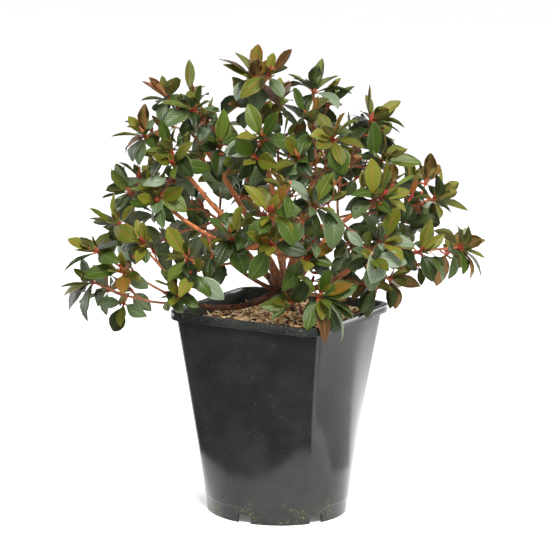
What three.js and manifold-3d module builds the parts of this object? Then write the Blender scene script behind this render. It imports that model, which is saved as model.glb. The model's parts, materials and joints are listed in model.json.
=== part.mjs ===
// Azalea shrub in its nursery pot.
//
// Millimetres, +Z up. The pot's flat underside is at Z = 0, its axis is the Z axis and its four
// sides face along X and Y. Places are given as a bearing (degrees from +X towards +Y), a reach
// (distance from the pot's axis) and a height above the ground.
//
// The shrub is a trunk with main boughs. Every bough ends in a short fork. The next boughs and the
// stems of the leaf masses begin there, a small clearance beyond the fork's ends. A leaf mass grows
// by one seeded rule: side shoots leave its stem, every shoot ends in a bud with a whorl of leaves,
// and a mass keeps to the space that lies nearer to its own stem than to any other.

import * as THREE from 'three';
import { mergeVertices } from 'three/addons/utils/BufferGeometryUtils.js';
import Module from 'manifold-3d';

const wasm = await Module();
wasm.setup();

// ---------------------------------------------------------------- sizes of the pot and its filling

const GAP = 0.3;
const OVERCUT = 1;
const POT_HEIGHT = 200;
const RIM_SIDE = 165.9;
const RIM_CORNER = 20;
const LIP_HEIGHT = 8;
const LIP_OVERHANG = 4.4;
const LEDGE = 0.7;
const POT_WALL = 1.8;
const BASE_RADIUS = 68.4;
const SKIRT_HEIGHT = 15;
const SKIRT_TOP_RADIUS = 69.6;
const BODY_FOOT_RADIUS = 70.2;
const FLOOR_TOP = 8;
const RECESS_HEIGHT = 6;
const NOTCH_COUNT = 6;
const NOTCH_WIDTH = 14;
const NOTCH_HEIGHT = 8;
const NOTCH_DEPTH = 20;
const NOTCH_FIRST_BEARING = 31;
const POT_SIDES = 40;

const SOIL_EDGE = 190;
const SOIL_TOP = 198;
const SOIL_FLAT_RADIUS = 24;
const SOIL_OVERLAP = 1.05;
const SOIL_DIP = 9;
const SOIL_DIP_BEARING = 165;

// Rings of the soil's mound, outer first: share of the fall from its flat top to the wall, and
// share of the wall's radius.
const MOUND_RINGS = [[0.75, 0.8], [0.35, 0.52]];

// ---------------------------------------------------------------- sizes of the wood and the leaves

const TRUNK_FLARE = 17;
const TRUNK_LEAN = 3;
const TRUNK_LEAN_BEARING = 20;
const FLARE_LOBES = 5;
const FORK_HEIGHT = 213;
const TRUNK_STUB = 19;
const FORK_STUB = 4.3;
const FORK_SPREAD = 1.0;
const BEND_SHARE = 0.42;
const BOUGH_SIDES = 6;
const BOUGH_STEPS = 3;
const STUB_SIDES = 4;
const STUB_SWELL = 1.05;

// Rings of the trunk from its foot up: height above the foot, radius and depth of the lobes.
const TRUNK_RINGS = [
  [0, TRUNK_FLARE, 0.16],
  [4, 13.25, 0.12],
  [11, 10.25, 0.06],
  [20, 9.5, 0.03],
  [24, 5.7, 0],
];

const STEM_RADIUS = 1.35;
const STEM_TIP_RADIUS = 0.9;
const STEM_STEPS = 3;
const SHOOT_RADIUS = 0.95;
const TWIG_SIDES = 3;
const BUD_RADIUS = 3.6;
const BUD_TAIL = 6;
const BUD_MIDDLE = 1;
const BUD_NOSE = 4;
const BUD_POINT = 0.3;
const ROOT_DEPTH = 0.5;
const ROOT_SPACING = 1.6;
const TILT_YOUNG = 24;
const TILT_OLD = 98;
const TILT_SCATTER = 16;
const YOUNG_LEAF = 0.74;
const OPEN_FROM = 0.18;
const DROOP = 0.3;
const WHORL_RISE = 0.45;
const SHOOT_LENGTH = 32;
const SHOOT_SHARE = 0.6;
const SHOOT_SHORTEST = 0.8;
const SHOOT_LONGEST = 1.1;
const SHOOT_TILT_LEAST = 45;
const SHOOT_TILT_MOST = 65;
const SHOOT_RISE = 0.25;
const SHOOTS_FROM = 0.4;
const SHOOTS_TO = 0.8;
const SHOOT_TURNS = [0, 60, -60];
const SHOOT_CHECKS = [0.4, 0.6, 0.8, 1];
const LEADING_LEAVES = 7;
const SIDE_LEAVES = 4;
const LEAF_LENGTH = 38;
const LEAF_SHORTEST = 0.88;
const LEAF_LONGEST = 1.12;
const LEAF_SHAPE = 0.5;
const LEAF_FOLD = 1.6;
const GOLDEN_ANGLE = 137.508;
const SPACE_MARGIN = 0.45;
const LEAF_CLEARANCE = 0.6;
const BLADE_CHECKS = 8;
const CLEAR_BESIDE_POT = 1.2;
const CLEAR_ABOVE_POT = 1.5;

// The places that a leaf tries in turn: share of its full length, and degrees aside.
const LEAF_TRIES = [[1, 0], [0.9, 20], [0.9, -20], [0.74, 0]];

// Boughs: name, what they grow from, bearing, reach and height of the tip, radius at foot and tip,
// and for those on the trunk the slope at which they leave it.
const BOUGHS = [
  ['bough_low_left', 'trunk', 231, 98, 210, 3.3, 2.4, -10],
  ['bough_left', 'trunk', 231, 20, 259, 4.8, 4.0, 66],
  ['bough_left_low', 'trunk', 247, 61, 249, 2.3, 1.7, 24],
  ['bough_front', 'trunk', 294, 50, 264, 2.8, 2.0, 46],
  ['bough_right', 'trunk', 17, 22, 284, 4.6, 3.8, 74],
  ['bough_low_right', 'trunk', 352, 94, 258, 3.2, 2.2, 12],
  ['bough_back_left', 'trunk', 165, 85, 275, 3.6, 2.5, 34],
  ['bough_back', 'trunk', 120, 75, 285, 3.6, 2.5, 44],
  ['bough_back_right', 'trunk', 70, 75, 280, 3.6, 2.5, 36],
  ['bough_left_high', 'bough_left', 208, 76, 355, 3.0, 2.0],
  ['bough_left_mid', 'bough_left', 221, 93, 331, 2.8, 1.9],
  ['bough_left_out', 'bough_left', 223, 114, 302, 2.5, 1.8],
  ['bough_top', 'bough_left', 208, 20, 352, 3.0, 2.0],
  ['bough_centre_high', 'bough_right', 3, 35, 327, 2.7, 2.0],
  ['bough_right_high', 'bough_right', 28, 64, 339, 2.8, 2.0],
  ['bough_right_mid', 'bough_right', 357, 79, 298, 2.8, 2.0],
];

// Leaf masses: name, the bough that bears them, bearing, reach and height of the leading bud,
// number of shoots, leaf colour and seed.
const MASSES = [
  ['leaves_left_crest', 'bough_left_high', 202, 110, 398, 2, 'olive', 86],
  ['leaves_left_crown', 'bough_left_high', 218, 86, 392, 2, 'green', 54],
  ['leaves_left_inner', 'bough_left_high', 232, 66, 360, 2, 'green', 65],
  ['leaves_left_upper', 'bough_left_mid', 216, 132, 367, 2, 'olive', 19],
  ['leaves_left_face', 'bough_left_mid', 232, 115, 355, 2, 'green', 107],
  ['leaves_left_edge', 'bough_left_out', 212, 146, 313, 3, 'grey_green', 55],
  ['leaves_left_mid', 'bough_left_out', 232, 128, 316, 2, 'green', 26],
  ['leaves_left_lower', 'bough_low_left', 228, 163, 287, 2, 'olive', 84],
  ['leaves_left_wing', 'bough_low_left', 227, 183, 262, 2, 'olive', 68],
  ['leaves_left_hanging', 'bough_low_left', 225, 186, 232, 2, 'grey_green', 7],
  ['leaves_left_rim', 'bough_low_left', 236, 112, 228, 2, 'green', 23],
  ['leaves_left_hollow', 'bough_left_low', 243, 108, 257, 2, 'green', 40],
  ['leaves_front_left', 'bough_left_low', 259, 74, 277, 2, 'green', 124],
  ['leaves_front', 'bough_front', 292, 106, 308, 3, 'olive', 25],
  ['leaves_front_right', 'bough_front', 317, 87, 312, 2, 'grey_green', 82],
  ['leaves_front_low', 'bough_front', 315, 76, 260, 2, 'green', 108],
  ['leaves_rim_front', 'trunk', 320, 95, 228, 2, 'green', 61],
  ['leaves_top', 'bough_top', 228, 29, 422, 3, 'bronze', 91],
  ['leaves_top_front', 'bough_top', 276, 54, 369, 2, 'green', 132],
  ['leaves_top_right', 'bough_centre_high', 47, 30, 408, 2, 'green', 142],
  ['leaves_high_front', 'bough_centre_high', 312, 58, 352, 2, 'green', 135],
  ['leaves_high_right', 'bough_centre_high', 335, 76, 373, 2, 'olive', 87],
  ['leaves_right_crest', 'bough_right_high', 35, 85, 382, 2, 'olive', 148],
  ['leaves_right_upper', 'bough_right_high', 16, 96, 348, 2, 'green', 74],
  ['leaves_right_face', 'bough_right_mid', 355, 110, 318, 2, 'green', 143],
  ['leaves_right_edge', 'bough_right_mid', 22, 145, 310, 3, 'olive', 145],
  ['leaves_right_lower', 'bough_low_right', 345, 126, 279, 2, 'grey_green', 37],
  ['leaves_right_wing', 'bough_low_right', 19, 172, 266, 3, 'olive', 22],
  ['leaves_right_hanging', 'bough_low_right', 16, 106, 234, 3, 'bronze', 134],
  ['leaves_back_left', 'bough_back_left', 173, 150, 308, 3, 'green', 137],
  ['leaves_back_left_low', 'bough_back_left', 188, 160, 258, 3, 'grey_green', 142],
  ['leaves_back_left_high', 'bough_back_left', 158, 120, 366, 3, 'olive', 56],
  ['leaves_back_low', 'bough_back_left', 150, 148, 250, 3, 'green', 138],
  ['leaves_back_mid', 'bough_back', 134, 136, 310, 3, 'green', 120],
  ['leaves_back_high', 'bough_back', 122, 78, 388, 3, 'olive', 113],
  ['leaves_back_face', 'bough_back', 106, 128, 320, 3, 'green', 120],
  ['leaves_back_lower', 'bough_back', 116, 146, 256, 3, 'grey_green', 10],
  ['leaves_back_right_high', 'bough_back_right', 74, 102, 348, 3, 'green', 148],
  ['leaves_back_right', 'bough_back_right', 58, 142, 302, 3, 'green', 45],
  ['leaves_back_right_low', 'bough_back_right', 72, 146, 252, 3, 'green', 40],
];

// ---------------------------------------------------------------- materials

function finish(color, roughness) {
  return new THREE.MeshStandardMaterial({ color, roughness, metalness: 0 });
}

const MATERIALS = {
  pot: () => finish('#26282a', 0.38),
  soil: () => finish('#a98e6b', 0.95),
  trunk: () => finish('#6a3a28', 0.85),
  bough: () => finish('#8a4d30', 0.75),
  green: () => finish('#3f5b3a', 0.45),
  grey_green: () => finish('#6f8570', 0.45),
  olive: () => finish('#7d8040', 0.5),
  bronze: () => finish('#6d5a38', 0.5),
};

// ---------------------------------------------------------------- small geometry helpers

const UP = new THREE.Vector3(0, 0, 1);
const UPRIGHT = 0.9;
const WELD = 1e-5;

function place(bearing, reach, height) {
  const angle = THREE.MathUtils.degToRad(bearing);
  return new THREE.Vector3(reach * Math.cos(angle), reach * Math.sin(angle), height);
}

function mix(a, b, share) {
  return a + (b - a) * share;
}

// Evenly stepped values from a first to a last.
function taper(first, last, count) {
  return Array.from({ length: count }, (_, i) => mix(first, last, i / (count - 1)));
}

// Two unit vectors square to an axis and to each other.
function across(axis) {
  const helper = Math.abs(axis.z) < UPRIGHT ? UP : new THREE.Vector3(1, 0, 0);
  const first = new THREE.Vector3().crossVectors(axis, helper).normalize();
  const second = new THREE.Vector3().crossVectors(axis, first);
  return [first, second];
}

// A unit vector that leans away from an axis by a tilt, on the side that the turn gives (degrees).
function leaning(axis, tilt, turn) {
  const [first, second] = across(axis);
  const t = THREE.MathUtils.degToRad(tilt);
  const a = THREE.MathUtils.degToRad(turn);
  return axis.clone().multiplyScalar(Math.cos(t))
    .addScaledVector(first, Math.sin(t) * Math.cos(a))
    .addScaledVector(second, Math.sin(t) * Math.sin(a))
    .normalize();
}

// Repeatable random numbers from 0 to 1, by repeated multiplication with a remainder.
function seeded(seed) {
  const modulus = 2147483647;
  const factor = 48271;
  const seedFactor = 7919;
  let state = (seed * seedFactor + 1) % modulus;
  const next = () => {
    state = (state * factor) % modulus;
    return state / modulus;
  };
  next();
  next();
  return next;
}

function solidOf(geometry) {
  const bare = geometry.clone();
  bare.deleteAttribute('normal');
  bare.deleteAttribute('uv');
  const merged = mergeVertices(bare, WELD);
  return new wasm.Manifold(new wasm.Mesh({
    numProp: 3,
    vertProperties: new Float32Array(merged.attributes.position.array),
    triVerts: new Uint32Array(merged.index.array),
  }));
}

function geometryOf(solid) {
  const mesh = solid.getMesh();
  const geometry = new THREE.BufferGeometry();
  geometry.setAttribute('position', new THREE.BufferAttribute(mesh.vertProperties, 3));
  geometry.setIndex(new THREE.BufferAttribute(mesh.triVerts, 1));
  geometry.computeVertexNormals();
  return geometry;
}

function fused(geometries) {
  return geometries.map(solidOf).reduce((whole, piece) => whole.add(piece));
}

// A closed solid round the Z axis through rows of [height, radius at an angle], lowest row first.
function loft(rows, sides) {
  const geometry = new THREE.CylinderGeometry(1, 1, 1, sides, rows.length - 1);
  geometry.rotateX(Math.PI / 2);
  const position = geometry.attributes.position;
  for (let i = 0; i < position.count; i += 1) {
    const row = Math.round((position.getZ(i) + 0.5) * (rows.length - 1));
    const angle = Math.atan2(position.getY(i), position.getX(i));
    const share = Math.hypot(position.getX(i), position.getY(i));
    const [height, radius] = rows[row];
    const r = share * radius(angle);
    const z = typeof height === 'function' ? height(angle) : height;
    position.setXYZ(i, r * Math.cos(angle), r * Math.sin(angle), z);
  }
  return geometry;
}

// A limb along a list of points, with a radius for each of them. Its foot is cut square to footWay.
function limb(points, radii, sides, footWay) {
  const steps = points.length - 1;
  const geometry = new THREE.CylinderGeometry(1, 1, 1, sides, steps);
  const [first, second] = across(points[steps].clone().sub(points[0]).normalize());
  const position = geometry.attributes.position;
  const corner = new THREE.Vector3();
  for (let i = 0; i < position.count; i += 1) {
    const row = Math.round((position.getY(i) + 0.5) * steps);
    const before = points[Math.max(0, row - 1)];
    const after = points[Math.min(steps, row + 1)];
    const along = row === 0 ? footWay : after.clone().sub(before).normalize();
    const side = first.clone().addScaledVector(along, -first.dot(along)).normalize();
    const other = second.clone().crossVectors(along, side);
    const radius = radii[row];
    corner.copy(points[row])
      .addScaledVector(side, radius * position.getX(i))
      .addScaledVector(other, -radius * position.getZ(i));
    position.setXYZ(i, corner.x, corner.y, corner.z);
  }
  return geometry;
}

// A leaf folded a little along its midrib. The edge from root to tip is the midrib, and the edge
// from side to side lies above it by the depth of the fold.
function leafSolid([root, left, tip, right]) {
  const along = tip.clone().sub(root);
  const wide = right.clone().sub(left);
  const geometry = new THREE.TetrahedronGeometry(Math.sqrt(3), 0);
  geometry.rotateZ(Math.PI / 4);
  const half = 1 / (2 * Math.SQRT2);
  geometry.scale(wide.length() * half, along.length() * half, LEAF_FOLD / 2);
  const under = new THREE.Vector3().crossVectors(wide, along).normalize();
  geometry.applyMatrix4(new THREE.Matrix4().makeBasis(wide.normalize(), along.normalize(), under));
  const middle = root.clone().add(tip).multiplyScalar(0.5);
  geometry.translate(middle.x, middle.y, middle.z);
  return geometry;
}

// ---------------------------------------------------------------- pot and soil

// Distance from the axis to the edge of a square with rounded corners.
function squareRadius(angle, half, corner) {
  const c = Math.abs(Math.cos(angle));
  const s = Math.abs(Math.sin(angle));
  const flat = half - corner;
  if (Math.min(c, s) * half <= flat * Math.max(c, s)) {
    return half / Math.max(c, s);
  }
  const along = flat * (c + s);
  return along + Math.sqrt(along * along - 2 * flat * flat + corner * corner);
}

// The wall runs straight from a circle at the skirt to the rounded square at the rim.
function wallRadius(angle, height, inset) {
  const share = (height - SKIRT_HEIGHT) / (POT_HEIGHT - SKIRT_HEIGHT);
  const top = squareRadius(angle, RIM_SIDE / 2 - LIP_OVERHANG, RIM_CORNER - LIP_OVERHANG);
  return mix(BODY_FOOT_RADIUS, top, share) - inset;
}

// The room inside the wall, from a floor height up to above the rim.
function potRoom(floor, inset) {
  const above = POT_HEIGHT + OVERCUT;
  return solidOf(loft([
    [floor, (angle) => wallRadius(angle, floor, inset)],
    [above, (angle) => wallRadius(angle, above, inset)],
  ], POT_SIDES));
}

function buildPot() {
  const round = (radius) => () => radius;
  const lip = (angle) => squareRadius(angle, RIM_SIDE / 2, RIM_CORNER);
  const underLip = POT_HEIGHT - LIP_HEIGHT;
  const outside = loft([
    [0, round(BASE_RADIUS)],
    [SKIRT_HEIGHT, round(SKIRT_TOP_RADIUS)],
    [SKIRT_HEIGHT + LEDGE, (angle) => wallRadius(angle, SKIRT_HEIGHT + LEDGE, 0)],
    [underLip, (angle) => wallRadius(angle, underLip, 0)],
    [underLip + LEDGE, (angle) => lip(angle) - LEDGE],
    [POT_HEIGHT - LEDGE, lip],
    [POT_HEIGHT, (angle) => lip(angle) - LEDGE],
  ], POT_SIDES);
  const recess = loft([
    [-OVERCUT, round(BASE_RADIUS - POT_WALL)],
    [RECESS_HEIGHT, round(BASE_RADIUS - POT_WALL)],
  ], POT_SIDES);
  let pot = solidOf(outside).subtract(potRoom(FLOOR_TOP, POT_WALL)).subtract(solidOf(recess));
  for (let i = 0; i < NOTCH_COUNT; i += 1) {
    const notch = new THREE.BoxGeometry(NOTCH_DEPTH, NOTCH_WIDTH, 2 * NOTCH_HEIGHT);
    notch.translate(BASE_RADIUS, 0, 0);
    notch.rotateZ(THREE.MathUtils.degToRad(NOTCH_FIRST_BEARING + (360 / NOTCH_COUNT) * i));
    pot = pot.subtract(solidOf(notch));
  }
  return pot;
}

// The soil fills the pot to just under the rim, a little lower at one side and raised at the trunk.
function soilEdge(angle) {
  const turn = angle - THREE.MathUtils.degToRad(SOIL_DIP_BEARING);
  return SOIL_EDGE - SOIL_DIP * Math.max(0, Math.cos(turn)) ** 3;
}

function buildSoil() {
  const ring = (share) => (angle) => share * wallRadius(angle, SOIL_EDGE, 0);
  const height = (share) => (angle) => mix(SOIL_TOP, soilEdge(angle), share);
  const mound = loft([
    [0, ring(SOIL_OVERLAP)],
    [soilEdge, ring(SOIL_OVERLAP)],
    ...MOUND_RINGS.map(([fall, share]) => [height(fall), ring(share)]),
    [SOIL_TOP, () => SOIL_FLAT_RADIUS],
  ], POT_SIDES);
  return potRoom(FLOOR_TOP + GAP, POT_WALL + GAP).intersect(solidOf(mound));
}

// ---------------------------------------------------------------- trunk and boughs

const trunkFoot = SOIL_TOP + GAP;
const trunkFork = place(TRUNK_LEAN_BEARING, TRUNK_LEAN, FORK_HEIGHT);

// The children of a bough's fork leave towards their own tips, pushed away from one another.
function spreadWays(from, tips) {
  const ways = tips.map((tip) => tip.clone().sub(from).normalize());
  const middle = ways.reduce((sum, way) => sum.add(way), new THREE.Vector3());
  middle.multiplyScalar(1 / ways.length);
  return ways.map((way) => way.clone().multiplyScalar(1 + FORK_SPREAD)
    .addScaledVector(middle, -FORK_SPREAD).normalize());
}

// Points from a start along a first direction, bending over to a tip.
function bend(start, way, tip, steps) {
  const bendPoint = start.clone().addScaledVector(way, start.distanceTo(tip) * BEND_SHARE);
  return new THREE.QuadraticBezierCurve3(start, bendPoint, tip).getPoints(steps);
}

// A bough leaves the trunk at its own slope. The stem of a leaf mass goes straight to its tip.
function wayFromTrunk(child) {
  if (child.isLimb) {
    const slope = THREE.MathUtils.degToRad(child.slope);
    return place(child.bearing, Math.cos(slope), Math.sin(slope));
  }
  return child.tip.clone().sub(trunkFork).normalize();
}

// Every fork with its children. A child first runs through a stub that belongs to its parent, and
// its own points begin a gap beyond that stub.
function layOutPlant() {
  const forks = { trunk: { from: trunkFork, children: [] } };
  for (const [name, parent, bearing, reach, height, foot, tipRadius, slope] of BOUGHS) {
    const tip = place(bearing, reach, height);
    const child = { name, tip, foot, tipRadius, slope, bearing, isLimb: true };
    forks[parent].children.push(child);
    forks[name] = { from: tip, children: [] };
  }
  for (const [name, parent, bearing, reach, height, shoots, tone, seed] of MASSES) {
    const tip = place(bearing, reach, height);
    forks[parent].children.push({ name, tip, foot: STEM_RADIUS, shoots, tone, seed });
  }
  const limbs = {};
  for (const fork of Object.values(forks)) {
    const onTrunk = fork === forks.trunk;
    const spread = spreadWays(fork.from, fork.children.map((child) => child.tip));
    fork.children.forEach((child, i) => {
      child.way = onTrunk ? wayFromTrunk(child) : spread[i];
      child.stub = onTrunk ? TRUNK_STUB : FORK_STUB * child.foot;
      const start = fork.from.clone().addScaledVector(child.way, child.stub + GAP);
      const steps = child.isLimb ? BOUGH_STEPS : STEM_STEPS;
      child.points = bend(start, child.way, child.tip, steps);
      limbs[child.name] = child;
    });
  }
  return { limbs, forks };
}

const { limbs, forks } = layOutPlant();

// The stubs that a fork sends to its children.
function stubs(fork) {
  return fork.children.map((child) => {
    const end = fork.from.clone().addScaledVector(child.way, child.stub);
    const radii = [child.foot * STUB_SWELL, child.foot];
    return limb([fork.from, end], radii, STUB_SIDES, child.way);
  });
}

function buildTrunk() {
  const lean = place(TRUNK_LEAN_BEARING, TRUNK_LEAN, 0);
  const lobed = (radius, depth) => (angle) => radius * (1 + depth * Math.cos(FLARE_LOBES * angle));
  const rows = TRUNK_RINGS.map(([rise, radius, depth]) => [trunkFoot + rise, lobed(radius, depth)]);
  const core = loft(rows, 2 * FLARE_LOBES);
  const position = core.attributes.position;
  for (let i = 0; i < position.count; i += 1) {
    const share = (position.getZ(i) - trunkFoot) / (FORK_HEIGHT - trunkFoot);
    position.setX(i, position.getX(i) + lean.x * share);
    position.setY(i, position.getY(i) + lean.y * share);
  }
  return fused([core, ...stubs(forks.trunk)]);
}

function buildBough(child) {
  const radii = taper(child.foot, child.tipRadius, child.points.length);
  const shaft = limb(child.points, radii, BOUGH_SIDES, child.way);
  return fused([shaft, ...stubs(forks[child.name])]);
}

// ---------------------------------------------------------------- the space of a leaf mass

function distanceToLine(point, from, to) {
  const line = to.clone().sub(from);
  const share = point.clone().sub(from).dot(line) / line.lengthSq();
  return point.distanceTo(line.multiplyScalar(Math.min(1, Math.max(0, share))).add(from));
}

function distanceToPath(point, path) {
  let nearest = Infinity;
  for (let i = 1; i < path.length; i += 1) {
    nearest = Math.min(nearest, distanceToLine(point, path[i - 1], path[i]));
  }
  return nearest;
}

const woodPaths = Object.values(limbs)
  .filter((child) => child.isLimb)
  .map((child) => ({ points: child.points, radius: child.foot }));
woodPaths.push({ points: [place(0, 0, trunkFoot), trunkFork], radius: TRUNK_FLARE });
for (const fork of Object.values(forks)) {
  for (const child of fork.children) {
    const end = fork.from.clone().addScaledVector(child.way, child.stub);
    woodPaths.push({ points: [fork.from, end], radius: child.foot * STUB_SWELL });
  }
}

// The rim and the wall of the pot keep leaves out up to a little above the rim.
function clearOfPot(point) {
  const rim = squareRadius(Math.atan2(point.y, point.x), RIM_SIDE / 2, RIM_CORNER);
  return point.z > POT_HEIGHT + CLEAR_ABOVE_POT
    || Math.hypot(point.x, point.y) > rim + CLEAR_BESIDE_POT;
}

function keepsSpace(points, mass, clearance) {
  const others = MASSES.map(([name]) => limbs[name]).filter((other) => other !== mass);
  return points.every((point) => {
    const own = distanceToPath(point, mass.points) + SPACE_MARGIN;
    return clearOfPot(point)
      && others.every((other) => distanceToPath(point, other.points) > own)
      && woodPaths.every((wood) => distanceToPath(point, wood.points) > wood.radius + clearance);
  });
}

// ---------------------------------------------------------------- the seeded rule of a leaf mass

// A leaf is a flat diamond: root, one side, tip, other side.
function blade(root, way, widthWay, length) {
  const tip = root.clone().addScaledVector(way, length);
  const middle = root.clone().lerp(tip, 0.5);
  const halfWidth = (length * LEAF_SHAPE) / 2;
  return [
    root,
    middle.clone().addScaledVector(widthWay, halfWidth),
    tip,
    middle.clone().addScaledVector(widthWay, -halfWidth),
  ];
}

// Points over a blade: along its middle and its two edges, without the part sunk in the bud.
function bladePoints([root, left, tip, right]) {
  const points = [tip];
  for (let i = 1; i < BLADE_CHECKS; i += 1) {
    const share = i / BLADE_CHECKS;
    const middle = root.clone().lerp(tip, share);
    const reach = 1 - Math.abs(2 * share - 1);
    const half = left.clone().sub(right).multiplyScalar(reach / 2);
    points.push(middle, middle.clone().add(half), middle.clone().sub(half));
  }
  return points;
}

function segmentCutsBlade(from, to, [root, left, tip, right]) {
  const way = to.clone().sub(from);
  const length = way.length();
  const ray = new THREE.Ray(from, way.normalize());
  const hit = new THREE.Vector3();
  return [[root, left, tip], [root, tip, right]].some(([a, b, c]) => {
    const found = ray.intersectTriangle(a, b, c, false, hit);
    return found !== null && hit.distanceTo(from) <= length;
  });
}

// Whether two blades cross outside the bud that may hold both their roots.
function bladesCross(one, other) {
  const open = ([root, left, tip, right]) => [root.clone().lerp(tip, OPEN_FROM), left, tip, right];
  const edges = (leaf) => leaf.map((corner, i) => [corner, leaf[(i + 1) % 4]]);
  const a = open(one);
  const b = open(other);
  return edges(a).some(([from, to]) => segmentCutsBlade(from, to, b))
    || edges(b).some(([from, to]) => segmentCutsBlade(from, to, a));
}

// One leaf of a whorl, or null where none fits. It tries its own place and length first, then a
// little to each side and shorter.
function growLeaf(grown, top, axis, age, turn, draws) {
  const tilt = mix(TILT_YOUNG, TILT_OLD, age) + TILT_SCATTER * (draws[0] - 0.5);
  const scatter = mix(LEAF_SHORTEST, LEAF_LONGEST, draws[1]);
  const full = LEAF_LENGTH * mix(YOUNG_LEAF, 1, age) * scatter;
  for (const [share, shift] of LEAF_TRIES) {
    const way = leaning(axis, tilt, turn + shift);
    way.z -= DROOP * age;
    way.normalize();
    const widthWay = new THREE.Vector3().crossVectors(way, axis).normalize();
    const root = top.clone().addScaledVector(axis, -ROOT_SPACING * age)
      .addScaledVector(way, -ROOT_DEPTH);
    const leaf = blade(root, way, widthWay, full * share);
    if (!grown.blades.some((other) => bladesCross(leaf, other))
      && !grown.twigs.some(({ path, top: end }) => end !== top
        && segmentCutsBlade(path.at(-1), end, leaf))
      && keepsSpace(bladePoints(leaf), grown.mass, LEAF_CLEARANCE)) {
      return leaf;
    }
  }
  return null;
}

// A twig along a path ends in a bud at its top, with a whorl of leaves that turns upward.
function growTwig(grown, { path, footWay, radii, top }, count, random) {
  const way = top.clone().sub(path.at(-1)).normalize();
  const axis = way.addScaledVector(UP, WHORL_RISE).normalize();
  const phase = 360 * random();
  grown.twigs.push({ path, footWay, radii, top, axis });
  for (let i = 0; i < count; i += 1) {
    const age = 1 - i / (count - 1);
    const draws = [random(), random()];
    const leaf = growLeaf(grown, top, axis, age, phase + GOLDEN_ANGLE * i, draws);
    if (leaf) {
      grown.blades.push(leaf);
    }
  }
}

// A side shoot leaves the stem at a share of its length. It tries three ways round the stem.
function growShoot(grown, share, stemWay, turn, random) {
  const points = grown.mass.points;
  const from = new THREE.CatmullRomCurve3(points).getPoint(share);
  const tilt = mix(SHOOT_TILT_LEAST, SHOOT_TILT_MOST, random());
  const length = Math.min(SHOOT_LENGTH, SHOOT_SHARE * points[0].distanceTo(grown.mass.tip));
  const reach = length * mix(SHOOT_SHORTEST, SHOOT_LONGEST, random());
  for (const shift of SHOOT_TURNS) {
    const way = leaning(stemWay, tilt, turn + shift).addScaledVector(UP, SHOOT_RISE).normalize();
    const to = from.clone().addScaledVector(way, reach);
    const outer = SHOOT_CHECKS.map((part) => from.clone().lerp(to, part));
    if (!grown.blades.some((leaf) => segmentCutsBlade(from, to, leaf))
      && keepsSpace(outer, grown.mass, SHOOT_RADIUS + LEAF_CLEARANCE)) {
      const shoot = { path: [from], footWay: way, radii: [SHOOT_RADIUS], top: to };
      growTwig(grown, shoot, SIDE_LEAVES, random);
      return;
    }
  }
}

function growMass(mass) {
  const random = seeded(mass.seed);
  const grown = { mass, blades: [], twigs: [] };
  const path = mass.points.slice(0, -1);
  const stemWay = mass.tip.clone().sub(path.at(-1)).normalize();
  const radii = taper(STEM_RADIUS, STEM_TIP_RADIUS, path.length);
  growTwig(grown, { path, footWay: mass.way, radii, top: mass.tip }, LEADING_LEAVES, random);
  const phase = 360 * random();
  for (let i = 1; i < mass.shoots; i += 1) {
    const part = mass.shoots > 2 ? (i - 1) / (mass.shoots - 2) : 0.5;
    const share = mix(SHOOTS_FROM, SHOOTS_TO, part);
    growShoot(grown, share, stemWay, phase + GOLDEN_ANGLE * i, random);
  }
  return grown;
}

function buildMass(mass) {
  const { blades, twigs } = growMass(mass);
  const pieces = twigs.map(({ path, footWay, top, axis, radii }) => {
    const bud = [-BUD_TAIL, -BUD_MIDDLE, BUD_NOSE].map((s) => top.clone().addScaledVector(axis, s));
    const widths = [...radii, radii.at(-1), BUD_RADIUS, BUD_POINT];
    return limb([...path, ...bud], widths, TWIG_SIDES, footWay);
  });
  return fused([...pieces, ...blades.map(leafSolid)]);
}

// ---------------------------------------------------------------- the whole part

const part = new THREE.Group();

function addNode(name, solid, material) {
  const mesh = new THREE.Mesh(geometryOf(solid), MATERIALS[material]());
  mesh.name = name;
  part.add(mesh);
}

addNode('pot', buildPot(), 'pot');
addNode('soil', buildSoil(), 'soil');
addNode('trunk', buildTrunk(), 'trunk');
for (const [name] of BOUGHS) {
  addNode(name, buildBough(limbs[name]), 'bough');
}
for (const [name] of MASSES) {
  addNode(name, buildMass(limbs[name]), limbs[name].tone);
}

export default part;
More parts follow.
